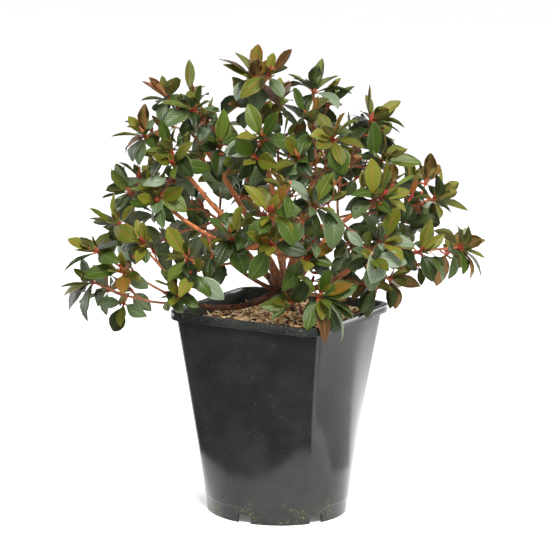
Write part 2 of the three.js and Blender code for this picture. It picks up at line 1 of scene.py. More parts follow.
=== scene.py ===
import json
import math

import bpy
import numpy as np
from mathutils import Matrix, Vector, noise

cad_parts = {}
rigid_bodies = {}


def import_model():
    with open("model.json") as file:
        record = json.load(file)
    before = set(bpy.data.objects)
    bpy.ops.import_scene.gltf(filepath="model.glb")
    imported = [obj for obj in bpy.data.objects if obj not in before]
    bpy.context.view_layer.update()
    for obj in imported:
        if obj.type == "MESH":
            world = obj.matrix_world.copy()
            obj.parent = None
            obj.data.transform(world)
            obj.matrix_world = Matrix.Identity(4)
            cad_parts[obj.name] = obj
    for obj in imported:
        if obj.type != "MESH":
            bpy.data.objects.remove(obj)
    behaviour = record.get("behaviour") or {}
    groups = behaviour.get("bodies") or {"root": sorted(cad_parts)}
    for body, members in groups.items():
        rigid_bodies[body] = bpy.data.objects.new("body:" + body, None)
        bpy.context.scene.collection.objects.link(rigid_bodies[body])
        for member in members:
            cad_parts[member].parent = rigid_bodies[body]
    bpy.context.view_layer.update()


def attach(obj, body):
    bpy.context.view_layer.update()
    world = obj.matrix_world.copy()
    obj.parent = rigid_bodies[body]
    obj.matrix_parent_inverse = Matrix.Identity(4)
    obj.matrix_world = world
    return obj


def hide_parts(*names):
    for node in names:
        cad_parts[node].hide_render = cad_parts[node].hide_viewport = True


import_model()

# A potted azalea shrub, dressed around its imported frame: bark, twigs, leaves, buds, mulch and pot.
#
# The plant's sizes are in millimetres in the frame's axes, as in the part's own source, and turn to
# metres where a mesh is made. A place is a bearing (degrees from +X towards +Y), a reach from the
# pot's axis and a height. The limbs, shoots and whorls grow by the source's rule. The same rule
# then goes on to finer twigs and more leaves inside the space of each leaf mass.

BODY = "root"
MM = 0.001
UP = np.array((0.0, 0.0, 1.0))
EAST = np.array((1.0, 0.0, 0.0))
UPRIGHT = 0.9
TINY = 1e-12

# ---------------------------------------------------------------- sizes shared with the solids

GAP = 0.3
POT_HEIGHT = 200
RIM_SIDE = 165.9
RIM_CORNER = 20
LIP_HEIGHT = 8
LIP_OVERHANG = 4.4
POT_WALL = 1.8
BASE_RADIUS = 68.4
SKIRT_HEIGHT = 15
SKIRT_TOP_RADIUS = 69.6
BODY_FOOT_RADIUS = 70.2
FLOOR_TOP = 8
RECESS_HEIGHT = 6
NOTCH_COUNT = 6
NOTCH_WIDTH = 14
NOTCH_HEIGHT = 8
NOTCH_DEPTH = 20
NOTCH_FIRST_BEARING = 31
SOIL_EDGE = 190
SOIL_TOP = 198
SOIL_DIP = 9
SOIL_DIP_BEARING = 165

TRUNK_FLARE = 17
TRUNK_NECK = 9.5
TRUNK_LEAN = 3
TRUNK_LEAN_BEARING = 20
FLARE_LOBES = 5
FORK_HEIGHT = 213
TRUNK_STUB = 19
FORK_STUB = 4.3
FORK_SPREAD = 1.0
BEND_SHARE = 0.42
STUB_SWELL = 1.05
STEM_STEPS = 3

STEM_RADIUS = 1.35
STEM_TIP_RADIUS = 0.9
SHOOT_RADIUS = 0.95
ROOT_DEPTH = 0.5
ROOT_SPACING = 1.6
TILT_YOUNG = 24
TILT_OLD = 98
TILT_SCATTER = 16
YOUNG_LEAF = 0.74
OPEN_FROM = 0.18
DROOP = 0.3
WHORL_RISE = 0.45
SHOOT_LENGTH = 32
SHOOT_TILT_LEAST = 45
SHOOT_TILT_MOST = 65
SHOOT_RISE = 0.25
SHOOTS_FROM = 0.4
SHOOTS_TO = 0.8
SHOOT_SHARE = 0.6
SHOOT_SHORTEST = 0.8
SHOOT_LONGEST = 1.1
SHOOT_TURNS = (0, 60, -60)
SHOOT_CHECKS = (0.4, 0.6, 0.8, 1)
LEADING_LEAVES = 7
SIDE_LEAVES = 4
LEAF_LENGTH = 38
LEAF_SHORTEST = 0.88
LEAF_LONGEST = 1.12
LEAF_SHAPE = 0.5
# The share of its length and the turn aside with which a leaf tries to find room.
LEAF_TRIES = ((1, 0), (0.9, 20), (0.9, -20), (0.74, 0))
BLADE_CHECKS = 8
GOLDEN_ANGLE = 137.508
SPACE_MARGIN = 0.45
LEAF_CLEARANCE = 0.6
CLEAR_BESIDE_POT = 1.2
CLEAR_ABOVE_POT = 1.5

# Boughs: name, what they grow from, bearing, reach and height of the tip, radius at foot and tip,
# and the slope at which they leave the trunk.
BOUGHS = [
    ("bough_low_left", "trunk", 231, 98, 210, 3.3, 2.4, -10),
    ("bough_left", "trunk", 231, 20, 259, 4.8, 4.0, 66),
    ("bough_left_low", "trunk", 247, 61, 249, 2.3, 1.7, 24),
    ("bough_front", "trunk", 294, 50, 264, 2.8, 2.0, 46),
    ("bough_right", "trunk", 17, 22, 284, 4.6, 3.8, 74),
    ("bough_low_right", "trunk", 352, 94, 258, 3.2, 2.2, 12),
    ("bough_back_left", "trunk", 165, 85, 275, 3.6, 2.5, 34),
    ("bough_back", "trunk", 120, 75, 285, 3.6, 2.5, 44),
    ("bough_back_right", "trunk", 70, 75, 280, 3.6, 2.5, 36),
    ("bough_left_high", "bough_left", 208, 76, 355, 3.0, 2.0, None),
    ("bough_left_mid", "bough_left", 221, 93, 331, 2.8, 1.9, None),
    ("bough_left_out", "bough_left", 223, 114, 302, 2.5, 1.8, None),
    ("bough_top", "bough_left", 208, 20, 352, 3.0, 2.0, None),
    ("bough_centre_high", "bough_right", 3, 35, 327, 2.7, 2.0, None),
    ("bough_right_high", "bough_right", 28, 64, 339, 2.8, 2.0, None),
    ("bough_right_mid", "bough_right", 357, 79, 298, 2.8, 2.0, None),
]

# Leaf masses: name, the bough that bears them, bearing, reach and height of the leading bud, number
# of shoots, leaf tone and seed.
MASSES = [
    ("leaves_left_crest", "bough_left_high", 202, 110, 398, 2, "olive", 86),
    ("leaves_left_crown", "bough_left_high", 218, 86, 392, 2, "green", 54),
    ("leaves_left_inner", "bough_left_high", 232, 66, 360, 2, "green", 65),
    ("leaves_left_upper", "bough_left_mid", 216, 132, 367, 2, "olive", 19),
    ("leaves_left_face", "bough_left_mid", 232, 115, 355, 2, "green", 107),
    ("leaves_left_edge", "bough_left_out", 212, 146, 313, 3, "grey_green", 55),
    ("leaves_left_mid", "bough_left_out", 232, 128, 316, 2, "green", 26),
    ("leaves_left_lower", "bough_low_left", 228, 163, 287, 2, "olive", 84),
    ("leaves_left_wing", "bough_low_left", 227, 183, 262, 2, "olive", 68),
    ("leaves_left_hanging", "bough_low_left", 225, 186, 232, 2, "grey_green", 7),
    ("leaves_left_rim", "bough_low_left", 236, 112, 228, 2, "green", 23),
    ("leaves_left_hollow", "bough_left_low", 243, 108, 257, 2, "green", 40),
    ("leaves_front_left", "bough_left_low", 259, 74, 277, 2, "green", 124),
    ("leaves_front", "bough_front", 292, 106, 308, 3, "olive", 25),
    ("leaves_front_right", "bough_front", 317, 87, 312, 2, "grey_green", 82),
    ("leaves_front_low", "bough_front", 315, 76, 260, 2, "green", 108),
    ("leaves_rim_front", "trunk", 320, 95, 228, 2, "green", 61),
    ("leaves_top", "bough_top", 228, 29, 422, 3, "bronze", 91),
    ("leaves_top_front", "bough_top", 276, 54, 369, 2, "green", 132),
    ("leaves_top_right", "bough_centre_high", 47, 30, 408, 2, "green", 142),
    ("leaves_high_front", "bough_centre_high", 312, 58, 352, 2, "green", 135),
    ("leaves_high_right", "bough_centre_high", 335, 76, 373, 2, "olive", 87),
    ("leaves_right_crest", "bough_right_high", 35, 85, 382, 2, "olive", 148),
    ("leaves_right_upper", "bough_right_high", 16, 96, 348, 2, "green", 74),
    ("leaves_right_face", "bough_right_mid", 355, 110, 318, 2, "green", 143),
    ("leaves_right_edge", "bough_right_mid", 22, 145, 310, 3, "olive", 145),
    ("leaves_right_lower", "bough_low_right", 345, 126, 279, 2, "grey_green", 37),
    ("leaves_right_wing", "bough_low_right", 19, 172, 266, 3, "olive", 22),
    ("leaves_right_hanging", "bough_low_right", 16, 106, 234, 3, "bronze", 134),
    ("leaves_back_left", "bough_back_left", 173, 150, 308, 3, "green", 137),
    ("leaves_back_left_low", "bough_back_left", 188, 160, 258, 3, "grey_green", 142),
    ("leaves_back_left_high", "bough_back_left", 158, 120, 366, 3, "olive", 56),
    ("leaves_back_low", "bough_back_left", 150, 148, 250, 3, "green", 138),
    ("leaves_back_mid", "bough_back", 134, 136, 310, 3, "green", 120),
    ("leaves_back_high", "bough_back", 122, 78, 388, 3, "olive", 113),
    ("leaves_back_face", "bough_back", 106, 128, 320, 3, "green", 120),
    ("leaves_back_lower", "bough_back", 116, 146, 256, 3, "grey_green", 10),
    ("leaves_back_right_high", "bough_back_right", 74, 102, 348, 3, "green", 148),
    ("leaves_back_right", "bough_back_right", 58, 142, 302, 3, "green", 45),
    ("leaves_back_right_low", "bough_back_right", 72, 146, 252, 3, "green", 40),
]

# ---------------------------------------------------------------- sizes of the finer growth

FINE_SEED = 500
FINE_WHORL_LEAVES = 5
FINE_BUD_LEAVES = 3
FINE_TWIGS = 4
FINE_TWIG_LEAVES = 5
FINE_TWIG_RADIUS = 0.75
FINE_TWIG_LEAST = 11
FINE_TWIG_MOST = 24
FINE_TWIGS_FROM = 0.12
FINE_TWIGS_TO = 0.92
FINE_TILT_LEAST = 40
FINE_TILT_MOST = 80
FINE_LEAF = 0.86
FINE_LEAF_LEAST = 0.7
BUD_LEAF_AGE = 0.15
BUD_LEAF_LEAST = 0.4
BUD_LEAF_MOST = 0.7
FINE_CLEARANCE = 0.4

# ---------------------------------------------------------------- vectors and draws


def place(bearing, reach, height):
    angle = math.radians(bearing)
    return np.array((reach * math.cos(angle), reach * math.sin(angle), height))


def mix(a, b, share):
    return a + (b - a) * share


def length_of(vector):
    return math.sqrt(vector @ vector)


def unit(vector):
    return vector / length_of(vector)


def cross(a, b):
    return np.array((
        a[1] * b[2] - a[2] * b[1],
        a[2] * b[0] - a[0] * b[2],
        a[0] * b[1] - a[1] * b[0],
    ))


def across(axis):
    """A unit vector square to an axis."""
    return unit(cross(axis, UP if abs(axis[2]) < UPRIGHT else EAST))


def leaning(axis, tilt, turn):
    """A unit vector that leans away from an axis by a tilt, on the side that the turn gives."""
    first = across(axis)
    second = cross(axis, first)
    t = math.radians(tilt)
    a = math.radians(turn)
    side = math.cos(a) * first + math.sin(a) * second
    return unit(math.cos(t) * axis + math.sin(t) * side)


def seeded(seed):
    """A stream of even draws from 0 to 1, the same in every run."""
    modulus = 2147483647
    state = (seed * 7919 + 1) % modulus

    def draw():
        nonlocal state
        state = state * 48271 % modulus
        return state / modulus

    draw()
    draw()
    return draw


def bend(start, way, tip, steps):
    """Points from a start along a first direction, bending over to a tip."""
    handle = start + way * (length_of(tip - start) * BEND_SHARE)
    shares = [i / steps for i in range(steps + 1)]
    return [(1 - s) ** 2 * start + 2 * s * (1 - s) * handle + s * s * tip for s in shares]


def through(points, share):
    """The point at a share of a smooth curve through all the points."""
    last = len(points) - 1
    position = last * share
    index = min(int(position), last - 1)
    weight = position - index
    before = points[index - 1] if index > 0 else 2 * points[0] - points[1]
    after = points[index + 2] if index + 2 <= last else 2 * points[last] - points[last - 1]
    p = [before, points[index], points[index + 1], after]
    steps = [((b - a) @ (b - a)) ** 0.25 for a, b in zip(p, p[1:])]
    leave = (p[1] - p[0]) / steps[0] - (p[2] - p[0]) / (steps[0] + steps[1])
    leave = (leave + (p[2] - p[1]) / steps[1]) * steps[1]
    arrive = (p[2] - p[1]) / steps[1] - (p[3] - p[1]) / (steps[1] + steps[2])
    arrive = (arrive + (p[3] - p[2]) / steps[2]) * steps[1]
    square = -3 * p[1] + 3 * p[2] - 2 * leave - arrive
    cube = 2 * p[1] - 2 * p[2] + leave + arrive
    return p[1] + leave * weight + square * weight ** 2 + cube * weight ** 3


# ---------------------------------------------------------------- limbs by the source's rule


def spread_ways(start, tips):
    """The children of a fork leave towards their own tips, pushed away from one another."""
    ways = [unit(tip - start) for tip in tips]
    middle = sum(ways) / len(ways)
    return [unit(way * (1 + FORK_SPREAD) - middle * FORK_SPREAD) for way in ways]


def lay_out_plant():
    trunk_fork = place(TRUNK_LEAN_BEARING, TRUNK_LEAN, FORK_HEIGHT)
    forks = {"trunk": {"start": trunk_fork, "children": []}}
    for name, parent, bearing, reach, height, foot, tip_radius, slope in BOUGHS:
        tip = place(bearing, reach, height)
        child = {"name": name, "tip": tip, "foot": foot, "tip_radius": tip_radius,
                 "slope": slope, "bearing": bearing, "is_limb": True}
        forks[parent]["children"].append(child)
        forks[name] = {"start": tip, "children": []}
    for name, parent, bearing, reach, height, shoots, tone, seed in MASSES:
        tip = place(bearing, reach, height)
        child = {"name": name, "tip": tip, "foot": STEM_RADIUS, "tip_radius": STEM_TIP_RADIUS,
                 "shoots": shoots, "tone": tone, "seed": seed, "is_limb": False}
        forks[parent]["children"].append(child)
    for name, fork in forks.items():
        if not fork["children"]:
            continue
        ways = spread_ways(fork["start"], [child["tip"] for child in fork["children"]])
        for child, way in zip(fork["children"], ways):
            if name == "trunk":
                way = unit(child["tip"] - fork["start"])
                if child["is_limb"]:
                    slope = math.radians(child["slope"])
                    way = place(child["bearing"], math.cos(slope), math.sin(slope))
            child["fork"] = fork["start"]
            child["way"] = way
            child["stub"] = TRUNK_STUB if name == "trunk" else FORK_STUB * child["foot"]
            start = fork["start"] + way * (child["stub"] + GAP)
            child["points"] = bend(start, way, child["tip"], STEM_STEPS)
    return {child["name"]: child for fork in forks.values() for child in fork["children"]}


LIMBS = lay_out_plant()
TRUNK_FOOT = SOIL_TOP + GAP
TRUNK_FORK = place(TRUNK_LEAN_BEARING, TRUNK_LEAN, FORK_HEIGHT)

# ---------------------------------------------------------------- the space of a leaf mass


def distances(points, starts, ends):
    """Distances from points, one a row, to straight lines, one a column."""
    lines = ends - starts
    offsets = points[:, None, :] - starts[None, :, :]
    share = (offsets * lines).sum(-1) / (lines * lines).sum(-1)
    nearest = offsets - np.clip(share, 0, 1)[..., None] * lines
    return np.sqrt((nearest * nearest).sum(-1))


def wood_lines():
    """Straight lines along all the wood that leaves must clear, with a radius for each."""
    lines = [(place(0, 0, TRUNK_FOOT), TRUNK_FORK, TRUNK_FLARE)]
    for child in LIMBS.values():
        end = child["fork"] + child["way"] * child["stub"]
        lines.append((child["fork"], end, child["foot"] * STUB_SWELL))
        if child["is_limb"]:
            points = child["points"]
            lines += [(a, b, child["foot"]) for a, b in zip(points, points[1:])]
    return [np.array(column) for column in zip(*lines)]


STEM_NAMES = [row[0] for row in MASSES]
STEM_POINTS = np.array([LIMBS[name]["points"] for name in STEM_NAMES])
STEM_STARTS = STEM_POINTS[:, :-1].reshape(-1, 3)
STEM_ENDS = STEM_POINTS[:, 1:].reshape(-1, 3)
WOOD_STARTS, WOOD_ENDS, WOOD_RADII = wood_lines()


def square_radius(angle, half, corner):
    """Distance from the axis to the edge of a square with rounded corners."""
    c = abs(math.cos(angle))
    s = abs(math.sin(angle))
    flat = half - corner
    if min(c, s) * half <= flat * max(c, s):
        return half / max(c, s)
    along = flat * (c + s)
    return along + math.sqrt(along * along - 2 * flat * flat + corner * corner)


def clear_of_pot(point):
    x, y, z = point
    rim = square_radius(math.atan2(y, x), RIM_SIDE / 2, RIM_CORNER)
    return z > POT_HEIGHT + CLEAR_ABOVE_POT or math.hypot(x, y) > rim + CLEAR_BESIDE_POT


def keeps_space(points, mass, clearance):
    """Whether all the points lie in the mass's own space, clear of the wood and the pot."""
    if not all(clear_of_pot(point) for point in points):
        return False
    stems = distances(points, STEM_STARTS, STEM_ENDS)
    stems = stems.reshape(len(points), len(STEM_NAMES), STEM_STEPS).min(-1)
    own = STEM_NAMES.index(mass["name"])
    others = np.delete(stems, own, axis=1).min(-1)
    if (others <= stems[:, own] + SPACE_MARGIN).any():
        return False
    return bool((distances(points, WOOD_STARTS, WOOD_ENDS) > WOOD_RADII + clearance).all())


# ---------------------------------------------------------------- leaves, whorls and shoots


def blade(root, way, wide, length):
    """A leaf as a flat diamond: root, one side, tip, other side."""
    middle = root + way * (length / 2)
    half = wide * (length * LEAF_SHAPE / 2)
    return np.array((root, middle + half, root + way * length, middle - half))


def blade_points(corners):
    """Points along a blade's middle and its edges, without the part in the bud."""
    root, left, tip, right = corners
    points = [tip]
    for i in range(1, BLADE_CHECKS):
        share = i / BLADE_CHECKS
        middle = mix(root, tip, share)
        half = (left - right) * ((1 - abs(2 * share - 1)) / 2)
        points += [middle, middle + half, middle - half]
    return np.array(points)


def lines_cut(starts, ends, triangles):
    """Whether any straight line passes through any triangle."""
    edge1 = triangles[:, 1] - triangles[:, 0]
    edge2 = triangles[:, 2] - triangles[:, 0]
    way = (ends - starts)[:, None, :]
    offset = starts[:, None, :] - triangles[None, :, 0]
    side = np.cross(way, edge2[None])
    size = (side * edge1).sum(-1)
    size = np.where(abs(size) < TINY, np.inf, size)
    u = (offset * side).sum(-1) / size
    turned = np.cross(offset, edge1[None])
    v = (way * turned).sum(-1) / size
    t = (turned * edge2).sum(-1) / size
    hit = (u >= 0) & (v >= 0) & (u + v <= 1) & (t >= 0) & (t <= 1) & np.isfinite(size)
    return bool(hit.any())


def halves(corners):
    root, left, tip, right = corners
    return [(root, left, tip), (root, tip, right)]


def opened(corners):
    root, left, tip, right = corners
    return np.array((mix(root, tip, OPEN_FROM), left, tip, right))


def crosses_others(grown, corners):
    """Whether a blade crosses another of its mass outside the bud that may hold both roots."""
    if not grown["open"]:
        return False
    mine = opened(corners)
    others = np.array(grown["open"])
    triangles = np.array([half for other in others for half in halves(other)])
    starts = others.reshape(-1, 3)
    ends = np.roll(others, -1, axis=1).reshape(-1, 3)
    return (lines_cut(mine, np.roll(mine, -1, axis=0), triangles)
            or lines_cut(starts, ends, np.array(halves(mine))))


def cut_by_twig(grown, corners, top):
    lines = [(twig["path"][-1], twig["top"]) for twig in grown["twigs"] if twig["top"] is not top]
    if not lines:
        return False
    starts, ends = (np.array(column) for column in zip(*lines))
    return lines_cut(starts, ends, np.array(halves(corners)))


def grow_leaf(grown, top, axis, age, turn, draws, scale=1.0, clearance=LEAF_CLEARANCE):
    """One leaf of a whorl, if one fits. It tries its own place, then a little aside and shorter."""
    tilt = mix(TILT_YOUNG, TILT_OLD, age) + TILT_SCATTER * (draws[0] - 0.5)
    full = LEAF_LENGTH * mix(YOUNG_LEAF, 1, age)
    full = full * mix(LEAF_SHORTEST, LEAF_LONGEST, draws[1]) * scale
    for share, shift in LEAF_TRIES:
        way = leaning(axis, tilt, turn + shift)
        way = unit(way - UP * (DROOP * age))
        wide = unit(cross(way, axis))
        root = top - axis * (ROOT_SPACING * age) - way * ROOT_DEPTH
        corners = blade(root, way, wide, full * share)
        if (not crosses_others(grown, corners)
                and not cut_by_twig(grown, corners, top)
                and keeps_space(blade_points(corners), grown["mass"], clearance)):
            grown["open"].append(opened(corners))
            grown["leaves"].append({"root": root, "way": way, "wide": wide,
                                    "length": full * share, "age": age})
            return


def grow_twig(grown, path, radius, top, count, random):
    """A twig ends in a bud at its top, with a whorl of leaves that turns upward."""
    axis = unit(unit(top - path[-1]) + UP * WHORL_RISE)
    phase = 360 * random()
    grown["twigs"].append({"path": path, "radius": radius, "top": top, "axis": axis,
                           "count": count})
    for i in range(count):
        draws = (random(), random())
        grow_leaf(grown, top, axis, 1 - i / (count - 1), phase + GOLDEN_ANGLE * i, draws)


def grow_shoot(grown, share, stem_way, turn, random):
    """A side shoot leaves the stem at a share of its length. It tries three ways round it."""
    mass = grown["mass"]
    start = through(mass["points"], share)
    tilt = mix(SHOOT_TILT_LEAST, SHOOT_TILT_MOST, random())
    length = min(SHOOT_LENGTH, SHOOT_SHARE * length_of(mass["points"][0] - mass["tip"]))
    reach = length * mix(SHOOT_SHORTEST, SHOOT_LONGEST, random())
    for shift in SHOOT_TURNS:
        way = unit(leaning(stem_way, tilt, turn + shift) + UP * SHOOT_RISE)
        end = start + way * reach
        outer = np.array([mix(start, end, part) for part in SHOOT_CHECKS])
        if shoot_fits(grown, start, end, outer, SHOOT_RADIUS + LEAF_CLEARANCE):
            grow_twig(grown, [start], SHOOT_RADIUS, end, SIDE_LEAVES, random)
            return


def shoot_fits(grown, start, end, outer, clearance):
    """Whether a shoot cuts no blade and keeps to its mass's space."""
    blades = [half for corners in grown["open"] for half in halves(corners)]
    cuts = blades and lines_cut(start[None], end[None], np.array(blades))
    return not cuts and keeps_space(outer, grown["mass"], clearance)


def grow_mass(mass):
    """The shoots and whorls that the solids have."""
    random = seeded(mass["seed"])
    grown = {"mass": mass, "open": [], "leaves": [], "twigs": []}
    path = mass["points"][:-1]
    stem_way = unit(mass["tip"] - path[-1])
    grow_twig(grown, path, STEM_TIP_RADIUS, mass["tip"], LEADING_LEAVES, random)
    phase = 360 * random()
    shoots = mass["shoots"]
    for i in range(1, shoots):
        part = (i - 1) / (shoots - 2) if shoots > 2 else 0.5
        share = mix(SHOOTS_FROM, SHOOTS_TO, part)
        grow_shoot(grown, share, stem_way, phase + GOLDEN_ANGLE * i, random)
    return grown


# ---------------------------------------------------------------- the finer growth


def fill_whorl(grown, twig, random):
    """More leaves between those of a whorl, and small young ones that stand round the bud."""
    phase = 360 * random()
    extra = FINE_WHORL_LEAVES if twig["count"] == LEADING_LEAVES else FINE_WHORL_LEAVES - 2
    for i in range(extra):
        draws = (random(), random())
        age = 1 - i / extra
        grow_leaf(grown, twig["top"], twig["axis"], age, phase + GOLDEN_ANGLE * i, draws,
                  mix(FINE_LEAF_LEAST, 1, random()), FINE_CLEARANCE)
    for i in range(FINE_BUD_LEAVES):
        draws = (random(), random())
        age = BUD_LEAF_AGE * random()
        grow_leaf(grown, twig["top"], twig["axis"], age, phase + 360 / FINE_BUD_LEAVES * i, draws,
                  mix(BUD_LEAF_LEAST, BUD_LEAF_MOST, random()), FINE_CLEARANCE)


def grow_fine_twig(grown, share, stem_way, turn, random):
    """A short twig off the stem, with a small whorl of its own."""
    points = grown["mass"]["points"]
    start = through(points, share)
    tilt = mix(FINE_TILT_LEAST, FINE_TILT_MOST, random())
    reach = mix(FINE_TWIG_LEAST, FINE_TWIG_MOST, random())
    way = unit(leaning(stem_way, tilt, turn) + UP * SHOOT_RISE)
    end = start + way * reach
    if not shoot_fits(grown, start, end, np.array([end]), SHOOT_RADIUS):
        return
    axis = unit(way + UP * WHORL_RISE)
    grown["twigs"].append({"path": [start], "radius": FINE_TWIG_RADIUS, "top": end, "axis": axis,
                           "count": 0})
    phase = 360 * random()
    for i in range(FINE_TWIG_LEAVES):
        draws = (random(), random())
        age = 1 - i / (FINE_TWIG_LEAVES - 1)
        grow_leaf(grown, end, axis, age, phase + GOLDEN_ANGLE * i, draws,
                  FINE_LEAF * mix(FINE_LEAF_LEAST, 1, random()), FINE_CLEARANCE)


def refine(grown):
    """Fills a mass's whorls and sets finer twigs along its stem."""
    mass = grown["mass"]
    random = seeded(mass["seed"] + FINE_SEED)
    for twig in list(grown["twigs"]):
        fill_whorl(grown, twig, random)
    stem_way = unit(mass["tip"] - mass["points"][0])
    phase = 360 * random()
    for i in range(FINE_TWIGS):
        share = mix(FINE_TWIGS_FROM, FINE_TWIGS_TO, (i + 0.5) / FINE_TWIGS)
        grow_fine_twig(grown, share, stem_way, phase + GOLDEN_ANGLE * i, random)
    return grown


# ---------------------------------------------------------------- shader and geometry node helpers


def srgb(red, green, blue):
    """A colour given as 0 to 255, in the linear numbers that a shader takes."""
    def linear(value):
        value /= 255
        return value / 12.92 if value <= 0.04045 else ((value + 0.055) / 1.055) ** 2.4
    return (linear(red), linear(green), linear(blue), 1)


def fill_sockets(tree, node, settings, sockets):
    """Sets a node's settings, then the values or links of its sockets."""
    for name, value in settings.items():
        if name == "stops":
            ramp = node.color_ramp
            while len(ramp.elements) < len(value):
                ramp.elements.new(0.5)
            for element, (position, colour) in zip(ramp.elements, value):
                element.position = position
                element.color = colour
        else:
            setattr(node, name, value)
    for key, value in sockets.items():
        socket = node.inputs[key]
        if isinstance(value, (Value, Field)):
            tree.links.new(value.socket, socket)
        else:
            socket.default_value = value


class Value:
    """One output of a material's nodes. A sum that is written with it adds its Math nodes."""

    def __init__(self, finish, socket):
        self.finish = finish
        self.socket = socket

    def maths(self, operation, a, b=0.0):
        return self.finish.node("ShaderNodeMath", {"operation": operation}, {0: a, 1: b})

    def __add__(self, other):
        return self.maths("ADD", self, other)

    __radd__ = __add__

    def __mul__(self, other):
        return self.maths("MULTIPLY", self, other)

    __rmul__ = __mul__

    def __sub__(self, other):
        return self.maths("SUBTRACT", self, other)

    def __rsub__(self, other):
        return self.maths("SUBTRACT", other, self)

    def __abs__(self):
        return self.maths("ABSOLUTE", self)

    def smooth(self, low, high):
        """0 below low and 1 above high, with a soft step between."""
        return self.finish.node("ShaderNodeMapRange", {"interpolation_type": "SMOOTHSTEP"},
                                {"Value": self, "From Min": low, "From Max": high})


class Finish:
    """A material being made: its nodes, and the shader that they feed."""

    def __init__(self, name):
        self.material = bpy.data.materials.new(name)
        self.material.use_nodes = True
        self.tree = self.material.node_tree
        self.shader = self.tree.nodes["Principled BSDF"]

    def node(self, kind, settings=None, sockets=None, output=0):
        node = self.tree.nodes.new(kind)
        fill_sockets(self.tree, node, settings or {}, sockets or {})
        return Value(self, node.outputs[output])

    def set(self, **sockets):
        """Values or links for the shader, by socket name with _ for a space."""
        named = {key.replace("_", " "): value for key, value in sockets.items()}
        fill_sockets(self.tree, self.shader, {}, named)
        return self

    def place(self):
        return self.node("ShaderNodeTexCoord", output="Object")

    def noise(self, scale, detail=3.0, roughness=0.5, vector=None):
        where = vector or self.place()
        return self.node("ShaderNodeTexNoise", {}, {
            "Vector": where, "Scale": scale, "Detail": detail, "Roughness": roughness})

    def cells(self, scale):
        """Distance to the nearest of many scattered points."""
        return self.node("ShaderNodeTexVoronoi", {"feature": "F1"}, {
            "Vector": self.place(), "Scale": scale}, "Distance")

    def stretched(self, x, y, z):
        """Object coordinates scaled apart on each axis."""
        return self.node("ShaderNodeMapping", {}, {"Vector": self.place(), "Scale": (x, y, z)})

    def blended(self, factor, a, b):
        """One colour mixed into another by a factor."""
        return self.node("ShaderNodeMix", {"data_type": "RGBA"}, {0: factor, 6: a, 7: b}, 2)

    def bump(self, height, distance, strength=1.0):
        return self.node("ShaderNodeBump", {}, {
            "Height": height, "Distance": distance, "Strength": strength})

    def split(self, vector):
        parts = self.tree.nodes.new("ShaderNodeSeparateXYZ")
        self.tree.links.new(vector.socket, parts.inputs[0])
        return [Value(self, output) for output in parts.outputs]


class Field:
    """One output of a geometry tree's nodes."""

    def __init__(self, socket):
        self.socket = socket


class Grower:
    """A geometry tree with named inputs, run once on a mesh to give a plain mesh."""

    def __init__(self, name):
        self.tree = bpy.data.node_groups.new(name, "GeometryNodeTree")
        self.tree.interface.new_socket("Geometry", in_out="INPUT",
                                       socket_type="NodeSocketGeometry")
        self.tree.interface.new_socket("Geometry", in_out="OUTPUT",
                                       socket_type="NodeSocketGeometry")
        self.entry = self.tree.nodes.new("NodeGroupInput")
        self.exit = self.tree.nodes.new("NodeGroupOutput")
        self.values = {}

    def geometry(self):
        return Field(self.entry.outputs["Geometry"])

    def size(self, name, kind, value):
        """A named input of the tree, with the value that it gets on the modifier."""
        item = self.tree.interface.new_socket(name, in_out="INPUT", socket_type=kind)
        self.values[item.identifier] = value
        return Field(self.entry.outputs[name])

    def node(self, kind, settings=None, sockets=None, output=0):
        node = self.tree.nodes.new(kind)
        fill_sockets(self.tree, node, settings or {}, sockets or {})
        return Field(node.outputs[output])

    def named(self, name, kind):
        return self.node("GeometryNodeInputNamedAttribute", {"data_type": kind}, {"Name": name})

    def equals(self, a, b):
        return self.node("FunctionNodeCompare", {"data_type": "INT", "operation": "EQUAL"},
                         {2: a, 3: b})

    def run(self, holder, result):
        """Ends the tree, runs it on a holder object and returns the plain mesh."""
        self.tree.links.new(result.socket, self.exit.inputs[0])
        modifier = holder.modifiers.new("grow", "NODES")
        modifier.node_group = self.tree
        for identifier, value in self.values.items():
            modifier[identifier] = value
        graph = bpy.context.evaluated_depsgraph_get()
        mesh = bpy.data.meshes.new_from_object(holder.evaluated_get(graph))
        holder.modifiers.remove(modifier)
        bpy.data.objects.remove(holder)
        return mesh


def add_object(name, mesh):
    piece = bpy.data.objects.new(name, mesh)
    bpy.context.scene.collection.objects.link(piece)
    return piece


def plain_mesh(name, points, faces):
    """A mesh from points in millimetres."""
    mesh = bpy.data.meshes.new(name)
    mesh.from_pydata([tuple(float(c) * MM for c in point) for point in points], [], faces)
    mesh.update()
    return mesh


def dress(piece, slot, *nodes):
    """Hands a finished piece to the frame: its body and the nodes it stands for, which it hides. The
    slot is not used.
    """
    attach(piece, BODY)
    if nodes:
        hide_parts(*nodes)
    return piece


def smooth_faces(mesh):
    mesh.polygons.foreach_set("use_smooth", [True] * len(mesh.polygons))
    return mesh


def band_faces(rings, sides, turned=False):
    """The quads between rings of points, facing out of a tube, or inwards if turned."""
    faces = []
    for ring in range(rings - 1):
        for side in range(sides):
            a = ring * sides + side
            b = ring * sides + (side + 1) % sides
            if turned:
                faces.append((a, a + sides, b + sides, b))
            else:
                faces.append((a, b, b + sides, a + sides))
    return faces


# ---------------------------------------------------------------- colours

